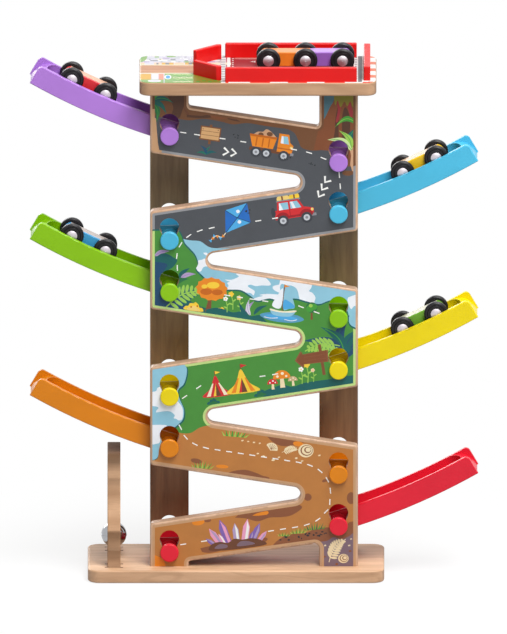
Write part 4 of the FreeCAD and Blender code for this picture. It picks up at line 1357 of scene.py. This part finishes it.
def third_band():
    shapes = []
    foliage = flowing([
        (-WIDE, 350), (-100, 347), (-90, 347), (-80, 344), (-84, 336), (-92, 330), (-90, 320), (-78, 314),
        (-64, 312), (-58, 306), (-66, 300), (-58, 294), (-46, 291),
    ])
    shapes.append((below(foliage, 270), "bush"))
    inner = flowing([
        (-WIDE, 342), (-98, 341), (-90, 338), (-96, 328), (-98, 316), (-88, 306), (-76, 304), (-74, 296),
        (-58, 288),
    ])
    shapes.append((below(inner, 270), "navy"))
    shapes += placed_all(
        (fern("leaf_light"), -92, 292, 22, 42),
        (broad_leaf("bush", "navy", 0.1), -78, 322, 55, 17),
        (broad_leaf("lilac", "purple", 0.08), -76, 324, 22, 16),
        (broad_leaf("field_dark", "bush", 0.1), -84, 316, 30, 18),
        (broad_leaf("lilac", "purple", 0.08), -103, 348, 25, 16),
        (broad_leaf("bush", "navy", 0.1), -101, 346, 5, 18),
        (autumn_tree(), -50, 288, -8, 44),
    )
    rushes = flowing([
        (-50, 290), (-40, 292), (-30, 290), (-22, 287), (-12, 288), (-4, 283), (6, 284), (12, 278),
        (20, 270),
    ])
    shapes.append((below(rushes, 262), "bush"))
    for x, z, size, ink in ((-28, 287, 15, "white"), (-22, 290, 17, "yellow"), (-14, 288, 15, "straw")):
        shapes += placed(stem_flower(ink), x, z, 6, size)
    for x, z, turn, ink in (
        (-8, 284, 68, "lilac"), (-4, 284, 100, "mist"), (0, 285, 40, "bush"), (-6, 284, 130, "bush"),
    ):
        shapes += placed(broad_leaf(ink, "purple" if ink != "bush" else "navy", 0.1, 0.24), x, z, turn, 17)
    shapes += placed(pond_boat(), 28, 279, -6, 36)
    shapes += placed(round_tree(), 60, 279, 0, 20)
    shapes += jungle(94, 238, 46)
    return shapes


def fourth_band():
    shapes = []
    bank = flowing([
        (10, 202), (20, 206), (30, 209), (40, 207), (52, 211), (64, 213), (78, 215), (92, 218),
        (WIDE, 220),
    ])
    shapes.append((below(bank, 190), "bush"))
    shapes += placed_all(
        (bush("bush", "field_dark"), 8, 197, 9, 14),
        (bush("bush", "field_dark"), -42, 188.5, 9, 12),
        (tent("red", "cream", "yellow"), -38, 197, 7, 30),
        (tent("yellow", "orange", "red"), -11, 201, 7, 34),
    )
    for x, z, size, cap, spot in (
        (30, 206, 20, "orange", "cream"), (20, 204, 12, "red", "white"),
        (41, 208, 11, "bone_shade", "cream"),
    ):
        shapes += placed(mushroom(cap, spot), x, z, 6, size)
    for x, z, size, ink in ((50, 210, 16, "white"), (56, 211, 20, "yellow"), (62, 212, 13, "peach")):
        shapes += placed(stem_flower(ink), x, z, 4, size)
    shapes += placed(arrow_board(), 62, 238, 9, 32)
    return shapes


def lower_bands():
    shapes = [patch("earth_dark", [
        (-8, 165), (4, 160), (12, 155), (20, 147), (30, 143), (42, 144), (54, 148), (64, 152), (70, 158),
        (60, 170), (0, 172),
    ])]
    shapes.append(patch("earth_dark", [
        (-32, 112), (-22, 116), (-10, 117.5), (0, 115), (8, 111.5), (16, 108), (0, 100), (-30, 104),
    ]))
    shapes += spots(
        (
            (-60, 127, 6, 2.6, -12), (56, 88, 4, 4, 0), (101, 87, 4.5, 6.5, 0), (74, 106, 3.5, 1.6, 20),
            (9, 41.5, 5.5, 2.6, 20), (-48, 63, 3.6, 2, 8),
        ),
        "earth_dark",
    )
    shapes += spots(((-33, 121, 6.5, 2, -4), (46, 145.5, 5.5, 2.6, -8), (-58, 61, 6.5, 3.4, 8)), "orange")
    shapes += [
        patch("earth_dark", [
            (-20, 66), (-8, 65), (4, 62), (16, 66), (28, 66.5), (40, 69), (50, 78), (30, 82), (-10, 74),
        ]),
        patch("orange", [(-2, 68), (4, 71), (14, 73), (14, 69.5), (4, 68)]),
        patch("earth_dark", [(-56, 33), (-48, 35), (-40, 36.5), (-34, 31), (-46, 28), (-54, 29)]),
        patch("orange", [(-44, 36), (-38, 37), (-32, 34.5), (-38, 32.5)]),
        patch("orange", [(-WIDE, 30), (-104, 26), (-96, 22), (-92, 14), (-92, 0), (-WIDE, 0)]),
    ]
    bank = flowing([
        (16, 32), (24, 41), (32, 46), (41, 48.5), (52, 49), (62, 53), (74, 55.5), (86, 54.5), (94, 56),
        (99, 61), (104, 62), (WIDE, 64),
    ])
    edge = flowing([
        (WIDE, 52), (104, 50), (99, 46), (91, 42.5), (83, 45), (76, 41), (68, 40), (60, 38.5), (30, 32),
    ])
    shapes.append((bank + edge, "earth_dark"))
    draw = random.Random(90)
    for _ in range(24):
        x = draw.uniform(24, 84)
        z = 43 + (x - 30) * 0.15 + draw.uniform(-2.4, 3.0)
        shapes.append(oval("spot", x, z, draw.uniform(0.5, 1.7), draw.uniform(0.5, 1.2), points=10))
    for x, z, size, turn, one, two in (
        (-20, 153, 21, -5, "leaf_light", "leaf"), (-54, 119, 17, -3, "leaf_light", "leaf"),
        (31, 46, 10, 0, "leaf_light", "leaf"), (46, 49, 13, 5, "leaf_light", "leaf"),
        (63, 53, 17, 6, "leaf", "field_dark"), (-38, 31, 8, 0, "leaf_light", "leaf"),
        (-20, 33, 9, 0, "leaf_light", "leaf"),
    ):
        shapes += placed(grass(one, two), x, z, turn, size)
    shapes += placed_all(
        (crystal_rock(), -17, 34, 6, 60),
        (fan_shell(), 18, 140, -30, 13),
        (spiral_shell(), 54, 138, 0, 16),
        (fern("bone", 8), 29, 136, 8, 17),
    )
    for x, z, size in (
        (-12, 149, 2.6), (-6, 148, 2.2), (0, 147, 2.6), (6, 146, 2.2), (4, 135, 2.6), (10, 132, 3.2),
        (20, 128, 3.4), (44, 130, 3.0), (50, 127, 2.6), (26, 131, 2.4), (68, 133, 2.6),
    ):
        shapes += placed(stone("bone", int(x) + 40, 0.6), x, z, 10, size)
    shapes += placed(fern("bone", 9), 78, 18, 52, 30)
    shapes += placed(spiral_shell(), 93, 22, 0, 11)
    for x, z, size in ((94, 40, 3), (99, 36, 2.6), (74, 36, 2.6), (101, 43, 2.2)):
        shapes += placed(stone("bone", int(x), 0.6), x, z, 20, size)
    for x, z in ((73, 24), (100, 30), (86, 16)):
        shapes += placed(stone("earth_dark", x, 0.8), x, z, 0, 3)
    return shapes


# Where motifs cover the road's dashes: (left, right, low, high)
COVERED = (
    (-58, -33, 462, 492), (-11, 40, 448, 484), (-44, 4, 366, 404), (22, 66, 376, 416),
    (-72, -28, 288, 318), (12, 48, 276, 318), (66, 104, 236, 292), (-54, -22, 190, 226),
    (-28, 8, 196, 230), (22, 76, 200, 246), (20, 62, 134, 142), (-50, 16, 30, 58), (-88, -60, 165, 195),
)


EDGE_BARE = 0.4              # flat wood left bare beside the print's border
END_BARE = 0.05              # and at the board's foot and head
BORDER_WIDE = 2.5
KEYHOLE_MARGIN = 0.05


def make_panel_print(ink):
    low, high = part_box("front_panel")
    front = low.y
    loops = flat_loops(nodes["front_panel"], 1, front)
    foot = low.z / MM
    head = high.z / MM

    def open_ended(outline, distance):
        """Inset at the sides, but not at the board's foot and head."""
        shifted = []
        flat = counterclockwise(outline)
        for (_, z), (new_x, new_z) in zip(flat, inset(flat, distance)):
            if z < foot + END_BARE:
                new_z = foot + END_BARE
            elif z > head - END_BARE:
                new_z = head - END_BARE
            shifted.append((new_x, new_z))
        return shifted

    outline = open_ended(loops[0], EDGE_BARE)
    inner = open_ended(loops[0], EDGE_BARE + BORDER_WIDE)
    holes = [inset(loop, -KEYHOLE_MARGIN) for loop in loops[1:]]
    corner = flowing([(60, 38.5), (68, 40), (76, 41), (83, 45), (91, 42.5), (99, 46), (104, 50), (WIDE, 52)])
    drawing = ground("road", "field", "earth") + [(below(corner), "mauve")] + top_band() + second_band()
    drawing += third_band() + fourth_band() + lower_bands()
    rim = ground("kerb", "border_green", "border_tan") + [bar("border_tan", -WIDE, -96, 456, 506)]
    corners, kept = triangles(outline, inner, holes, drawing, rim)

    def place(x, z, lift):
        return (x * MM, front - lift, z * MM)

    sheet_piece("panel_print", corners, kept, place, ink, "tower")


# The deck's print, which runs on over the rounded edge. Its lane on the left stays bare.

DECK_INK_DEPTH = 0.8
LANE_HALF = 15.2
LANE_LINE = 2.6
LANE_END = -60.0
DECK_CORNER = 11.0
CORNER_STEPS = 8
DECK_ROUND = 2.0
DECK_WRAP = 1.25             # how far the print follows the rounded edge


def deck_ribs(x0, x1, pitch, ink, other):
    """Fine ribs across a band that runs from front to rear."""
    shapes = [bar(ink, x0, x1, -56, 56)]
    count = int(112 / pitch)
    for step in range(count):
        y = -56 + pitch * step
        shapes.append(bar(other, x0, x1, y, y + pitch / 2))
    return shapes


def deck_drawing():
    shapes = [bar("maroon", -130, 130, -60, 60), bar("mist", -130, -29, -60, 60)]
    draw = random.Random(17)
    for y, tall, longest, inks in (
        (17.5, 9.5, 15, ("peach", "cream", "peach", "ochre", "mist")),
        (27, 5, 9, ("mist", "white", "grey_light", "lilac")),
        (32, 4.6, 10, ("grey_light", "white", "mist", "grey")),
        (36.6, 5.4, 8, ("white", "mist", "grey", "cream")),
        (42, 4.4, 9, ("grey_light", "lilac", "white", "mist")),
        (46.4, 5.4, 11, ("white", "mist", "grey_light", "moss")),
        (51.8, 5, 9, ("mist", "grey", "white", "cream")),
    ):
        x = -124
        while x < -34:
            long = draw.uniform(0.45, 1.0) * longest
            shapes.append((oblong(x, x + long - 0.9, y, y + tall - 0.9), draw.choice(inks)))
            if draw.random() < 0.3:
                shapes.append(bar("grey", x + 0.3 * long, x + 0.6 * long, y + 0.8, y + tall - 1.9))
            x += long
    shapes += [
        oval("moss", -121, 50, 10, 24, points=24),
        oval("leaf", -122, 52, 6, 17, points=24),
    ]
    for x, z, rx in ((-86, 50, 5), (-52, 47, 6), (-70, 29, 3)):
        shapes.append(oval("moss", x, z, rx, 2.8, points=18))
    shapes += [
        bar("ochre", -119, -107, -42, -19), bar("white", -106, -100, -38, -21),
        bar("salmon", -99, -94, -42, -19), bar("moss", -119, -94, -60, -42),
        oval("white", -103.5, -47.5, 7, 4.6, points=24), oval("mist", -103.5, -47.5, 5.4, 3.2, points=24),
        bar("moss", -93, -62, -60, -18), oval("white", -89.5, -32, 3.6, 9, points=20),
        oval("blue_light", -89.5, -32, 2.4, 6.4, points=20), bar("olive", -63, -29, -60, -18),
    ]
    for step in range(6):
        y = -22 - step * 5.6
        line = wavy(-84, -64, y, y, 1.3, 2.2, step, 18)
        shapes.append((stroke(line, 1.4), ("leaf_pale", "leaf", "cream")[step % 3]))
    for step in range(5):
        x = -58 + step * 6
        shapes.append(oval("leaf", x, -50 + 3 * (step % 2), 2.4, 2.0, points=14))
    for side in (-1, 1):
        low = LANE_HALF if side > 0 else -LANE_HALF - LANE_LINE
        shapes.append(bar("cream", -130, LANE_END, low, low + LANE_LINE))
    shapes += deck_ribs(-34.5, -29.8, 6.9, "grey", "white")
    shapes.append(bar("white", -28, -24.6, -46, 46))
    for step in range(12):
        shapes.append(oval("white", -22, -42 + step * 7.6, 0.9, 1.5))
    for y in (-44, 44):
        shapes += [
            bar("salmon", -20, 106, y - 0.8, y + 0.8),
            bar("white", -20, 106, y * 0.93 - 0.4, y * 0.93 + 0.4),
        ]
    shapes += placed(
        [
            ([(-0.5, 0), (0.4, 0.6), (0.4, -0.6)], "white"),
            ([(-0.2, 0), (0.25, 0.3), (0.25, -0.3)], "maroon"),
        ],
        -1, 30, 0, 6,
    )
    shapes.append(bar("white", 103.8, 112.8, -60, 60))
    shapes += deck_ribs(104.6, 107.4, 6.9, "grey", "white")
    shapes += [
        bar("asphalt", 108.2, 112.3, -52, 52),
        bar("white", 112.8, 122, -60, 60),
        bar("white", 121, 130, -60, 60),
    ]
    for step in range(-3, 4):
        shapes.append(bar("coral", 119, 130, step * 26.5 - 8, step * 26.5 + 3))
    for x0, x1, ink in (
        (-29.6, 112.5, "kerb_red"), (-26.6, -4, "white"), (16.6, 35.2, "white"), (55.1, 73.3, "white"),
        (94.5, 113, "white"), (113, 122, "kerb_red"),
    ):
        for side in (-1, 1):
            y0, y1 = sorted((side * 51.9, side * 60))
            shapes.append(bar(ink, x0, x1, y0, y1))
    return shapes


def make_deck_print(ink):
    low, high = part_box("deck")
    top = high.z
    middle = (low + high) / 2 / MM
    flat_corner = DECK_CORNER - DECK_ROUND
    core_x = (high.x - low.x) / MM / 2 - DECK_CORNER
    core_y = (high.y - low.y) / MM / 2 - DECK_CORNER

    def rim(distance):
        """Outline of the deck's flat top, moved outwards."""
        outline = []
        for corner, (x, y) in enumerate(((1, 1), (-1, 1), (-1, -1), (1, -1))):
            for step in range(CORNER_STEPS + 1):
                angle = math.radians(90 * corner + 90 * step / CORNER_STEPS)
                radius = flat_corner + distance
                outline.append((middle.x + x * core_x + radius * math.cos(angle),
                                middle.y + y * core_y + radius * math.sin(angle)))
        return outline

    def place(x, y, lift):
        """Past the flat top the sheet follows the rounded edge."""
        across = Vector((x - middle.x, y - middle.y))
        spare = Vector((math.copysign(max(0.0, abs(across.x) - core_x), across.x),
                        math.copysign(max(0.0, abs(across.y) - core_y), across.y)))
        past = spare.length - flat_corner
        if past <= 0:
            return (x * MM, y * MM, top + lift)
        angle = past / DECK_ROUND
        outward = spare.normalized()
        shift = outward * ((DECK_ROUND * MM + lift) * math.sin(angle) / MM - past)
        rise = (DECK_ROUND * MM + lift) * math.cos(angle) - DECK_ROUND * MM
        return ((x + shift.x) * MM, (y + shift.y) * MM, top + rise)

    lane = oblong(-135, LANE_END, -LANE_HALF, LANE_HALF)
    guides = [rim(DECK_WRAP * share) for share in (0.66, 0.33, 0.0)]
    corners, kept = triangles(
        rim(DECK_WRAP), rim(DECK_WRAP - 0.01), [lane], deck_drawing(), [bar("cream", -140, 140, -70, 70)],
        guides,
    )
    sheet_piece("deck_print", corners, kept, place, ink, "tower")


# Repeated paint marks, made with geometry nodes

MARK_INPUTS = {
    "Line": "Geometry", "Pitch": "Float", "Bar Length": "Float", "Bar Width": "Float", "Bar Depth": "Float",
    "Ink": "Color", "Finish": "Material",
}


def mark_tree():
    """Geometry nodes that lay thin bars along a line, each turned to follow it."""
    tree = bpy.data.node_groups.new("bars_along_a_line", "GeometryNodeTree")
    sockets = {}
    for name, kind in MARK_INPUTS.items():
        socket = tree.interface.new_socket(name=name, in_out="INPUT", socket_type="NodeSocket" + kind)
        sockets[name] = socket.identifier
    tree.interface.new_socket(name="Bars", in_out="OUTPUT", socket_type="NodeSocketGeometry")
    build = Nodes(tree)
    given = build.add("NodeGroupInput", {}).outputs
    line = {"Curve": given["Line"], "Length": given["Pitch"]}
    spaced = build.made("GeometryNodeResampleCurve", "Curve", line, mode="LENGTH")
    size = {"X": given["Bar Length"], "Y": given["Bar Depth"], "Z": given["Bar Width"]}
    size = {"Size": build.made("ShaderNodeCombineXYZ", "Vector", size)}
    mark = build.made("GeometryNodeMeshCube", "Mesh", size)
    tangent = {"Vector": build.made("GeometryNodeInputTangent", "Tangent", {})}
    turned = build.made("FunctionNodeAlignRotationToVector", "Rotation", tangent, axis="X", pivot_axis="Y")
    laid = {"Points": spaced, "Instance": mark, "Rotation": turned}
    laid = build.made("GeometryNodeInstanceOnPoints", "Instances", laid)
    real = build.made("GeometryNodeRealizeInstances", "Geometry", {"Geometry": laid})
    inked = {"Geometry": real, "Name": "ink", "Value": given["Ink"]}
    colour_kind = {"data_type": "FLOAT_COLOR", "domain": "CORNER"}
    inked = build.made("GeometryNodeStoreNamedAttribute", "Geometry", inked, **colour_kind)
    finished = {"Geometry": inked, "Material": given["Finish"]}
    build.add("NodeGroupOutput", {"Bars": build.made("GeometryNodeSetMaterial", "Geometry", finished)})
    return tree, sockets


def grown(name, line_object, tree, sockets, values, body):
    """Runs a node tree on a line and keeps the result as a plain mesh piece."""
    modifier = line_object.modifiers.new(name, "NODES")
    modifier.node_group = tree
    for key, value in values.items():
        modifier[sockets[key]] = value
    bpy.context.view_layer.update()
    evaluated = line_object.evaluated_get(bpy.context.evaluated_depsgraph_get())
    mesh = bpy.data.meshes.new_from_object(evaluated)
    mesh.name = name
    bpy.data.objects.remove(line_object)
    piece = put_in_scene(name, mesh)
    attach(piece, body)


def line_of(stretches, name):
    """Curve object with one straight-sided spline for each stretch of points."""
    curve = bpy.data.curves.new(name, "CURVE")
    curve.dimensions = "3D"
    for stretch in stretches:
        spline = curve.splines.new("POLY")
        spline.points.add(len(stretch) - 1)
        for point, place in zip(spline.points, stretch):
            point.co = (*place, 1)
    return put_in_scene(name, curve)


DASH_PITCH = 12.2
DASH_LENGTH = 6.2
DASH_WIDTH = 1.1
DASH_DEPTH = 0.05
KEYHOLE_CLEAR = 13.2         # dashes stop this far from a keyhole's middle
KEYHOLE_SQUASH = 0.62        # and nearer than that above and below it


def make_road_dashes(ink):
    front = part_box("front_panel")[0].y
    middles = []
    for keyhole in flat_loops(nodes["front_panel"], 1, front)[1:]:
        middles.append([(min(values) + max(values)) / 2 for values in zip(*keyhole)])
    surface = front - SHEET_LIFT - SHEET_THICK - DASH_DEPTH * MM / 2
    stretches = [[]]
    for x, z in track_line():
        near = any(math.hypot(x - u, (z - v) * KEYHOLE_SQUASH) < KEYHOLE_CLEAR for u, v in middles)
        hidden = any(x0 < x < x1 and z0 < z < z1 for x0, x1, z0, z1 in COVERED)
        if not near and not hidden:
            stretches[-1].append((x * MM, surface, z * MM))
        elif stretches[-1]:
            stretches.append([])
    line = line_of([stretch for stretch in stretches if len(stretch) > 3], "road_line")
    tree, sockets = mark_tree()
    values = {
        "Pitch": DASH_PITCH * MM, "Bar Length": DASH_LENGTH * MM, "Bar Width": DASH_WIDTH * MM,
        "Bar Depth": DASH_DEPTH * MM, "Ink": linear(INK["white"]), "Finish": ink,
    }
    grown("road_dashes", line, tree, sockets, values, "tower")


# Camera, floor and light

def make_camera():
    up = Vector((0, math.sin(VIEW_ELEVATION), math.cos(VIEW_ELEVATION)))
    back = Vector((0, -math.cos(VIEW_ELEVATION), math.sin(VIEW_ELEVATION)))
    base_edge = Vector((0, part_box("base")[0].y, 0)).dot(up)
    rise = base_edge + (BASE_FRONT_ROW - PHOTO_HEIGHT / 2) * MM_PER_PIXEL * MM
    shift = (PHOTO_WIDTH / 2 - TOWER_MIDDLE_COLUMN) * MM_PER_PIXEL * MM
    camera = bpy.data.cameras.new("camera")
    camera.type = "ORTHO"
    camera.ortho_scale = PHOTO_HEIGHT * MM_PER_PIXEL * MM
    camera.clip_end = 20
    holder = put_in_scene("camera", camera)
    holder.location = Vector((shift, 0, 0)) + up * rise + back * VIEW_DISTANCE
    holder.rotation_euler = (math.pi / 2 - VIEW_ELEVATION, 0, 0)
    bpy.context.scene.camera = holder


LAMP_DISTANCE = 3.0
LAMPS = (
    # name, azimuth and elevation in degrees, size in metres, power in watts
    ("key_lamp", 42, 67, 1.3, 80),
    ("fill_lamp", 20, 47, 1.5, 50),
    ("back_lamp", -154, 20, 1.8, 38),
)


def make_light(name, azimuth, elevation, size, power):
    """Soft square lamp that looks at the middle of the object."""
    lamp = bpy.data.lights.new(name, "AREA")
    lamp.shape = "SQUARE"
    lamp.size = size
    lamp.energy = power
    a = math.radians(azimuth)
    e = math.radians(elevation)
    back = Vector((math.sin(a) * math.cos(e), -math.cos(a) * math.cos(e), math.sin(e)))
    holder = put_in_scene(name, lamp)
    holder.location = (cad_low + cad_high) / 2 + back * LAMP_DISTANCE
    holder.rotation_mode = "QUATERNION"
    holder.rotation_quaternion = (-back).to_track_quat("-Z", "Y")


def seen_directly(build):
    """1 for rays from the camera, a mirror or glass, and 0 for light."""
    rays = build.add("ShaderNodeLightPath", {}).outputs
    either = build.maths("MAXIMUM", rays["Is Camera Ray"], rays["Is Glossy Ray"])
    return build.maths("MAXIMUM", either, rays["Is Transmission Ray"])


AMBIENT = 0.28


def make_world():
    world = bpy.data.worlds.new("studio")
    bpy.context.scene.world = world
    world.use_nodes = True
    build = Nodes(world.node_tree)
    light, backdrop = (
        build.made("ShaderNodeBackground", "Background", {"Color": (1, 1, 1, 1), "Strength": strength})
        for strength in (AMBIENT, 1.0)
    )
    mix = build.made("ShaderNodeMixShader", "Shader", {0: seen_directly(build), 1: light, 2: backdrop})
    build.add("ShaderNodeOutputWorld", {"Surface": mix})


FLOOR_HALF = 6.0
FLOOR_GAP = 0.4 * MM
FLOOR_TONE = 0.86            # as seen
FLOOR_BOUNCE = 0.5           # as it lights the object
FLOOR_FADE_START = 0.14
FLOOR_FADE_END = 0.40
FLOOR_SHADOW_SHARE = 0.2     # the rest of the floor's look near the object is plain white


def make_floor():
    """Pale floor that fades to white away from the object and keeps its shadow."""
    mesh = bpy.data.meshes.new("floor")
    mesh.from_pydata([(x, y, 0) for x, y in oblong(-FLOOR_HALF, FLOOR_HALF, -FLOOR_HALF, FLOOR_HALF)],
                     [], [(0, 1, 2, 3)])
    floor = put_in_scene("floor", mesh)
    floor.location.z = -FLOOR_GAP
    material = bpy.data.materials.new("floor_paper")
    material.use_nodes = True
    build = Nodes(material.node_tree)
    direct = seen_directly(build)
    tones = {"Value": direct, "To Min": FLOOR_BOUNCE, "To Max": FLOOR_TONE}
    tone = build.made("ShaderNodeMapRange", "Result", tones)
    paper = build.made("ShaderNodeBsdfDiffuse", "BSDF", {"Color": tone})
    white = build.made("ShaderNodeEmission", "Emission", {"Strength": 1.0})
    place = {0: build.made("ShaderNodeTexCoord", "Object", {})}
    fade = build.made("ShaderNodeMapRange", "Result", {
        "Value": build.made("ShaderNodeVectorMath", "Value", place, operation="LENGTH"),
        "From Min": FLOOR_FADE_START, "From Max": FLOOR_FADE_END, "To Min": 1 - FLOOR_SHADOW_SHARE,
    }, interpolation_type="SMOOTHSTEP")
    mix = build.made("ShaderNodeMixShader", "Shader", {0: build.times(fade, direct), 1: paper, 2: white})
    build.add("ShaderNodeOutputMaterial", {"Surface": mix})
    mesh.materials.append(material)


make_camera()
make_world()
make_floor()
for lamp_values in LAMPS:
    make_light(*lamp_values)
bpy.context.scene.view_settings.view_transform = "Standard"
dress_tower()
dress_ramps()
dress_cars()
sheet_ink = printed_ink("printed_ink")
make_panel_print(sheet_ink)
make_deck_print(printed_ink("deck_ink", DECK_INK_DEPTH))
make_road_dashes(sheet_ink)
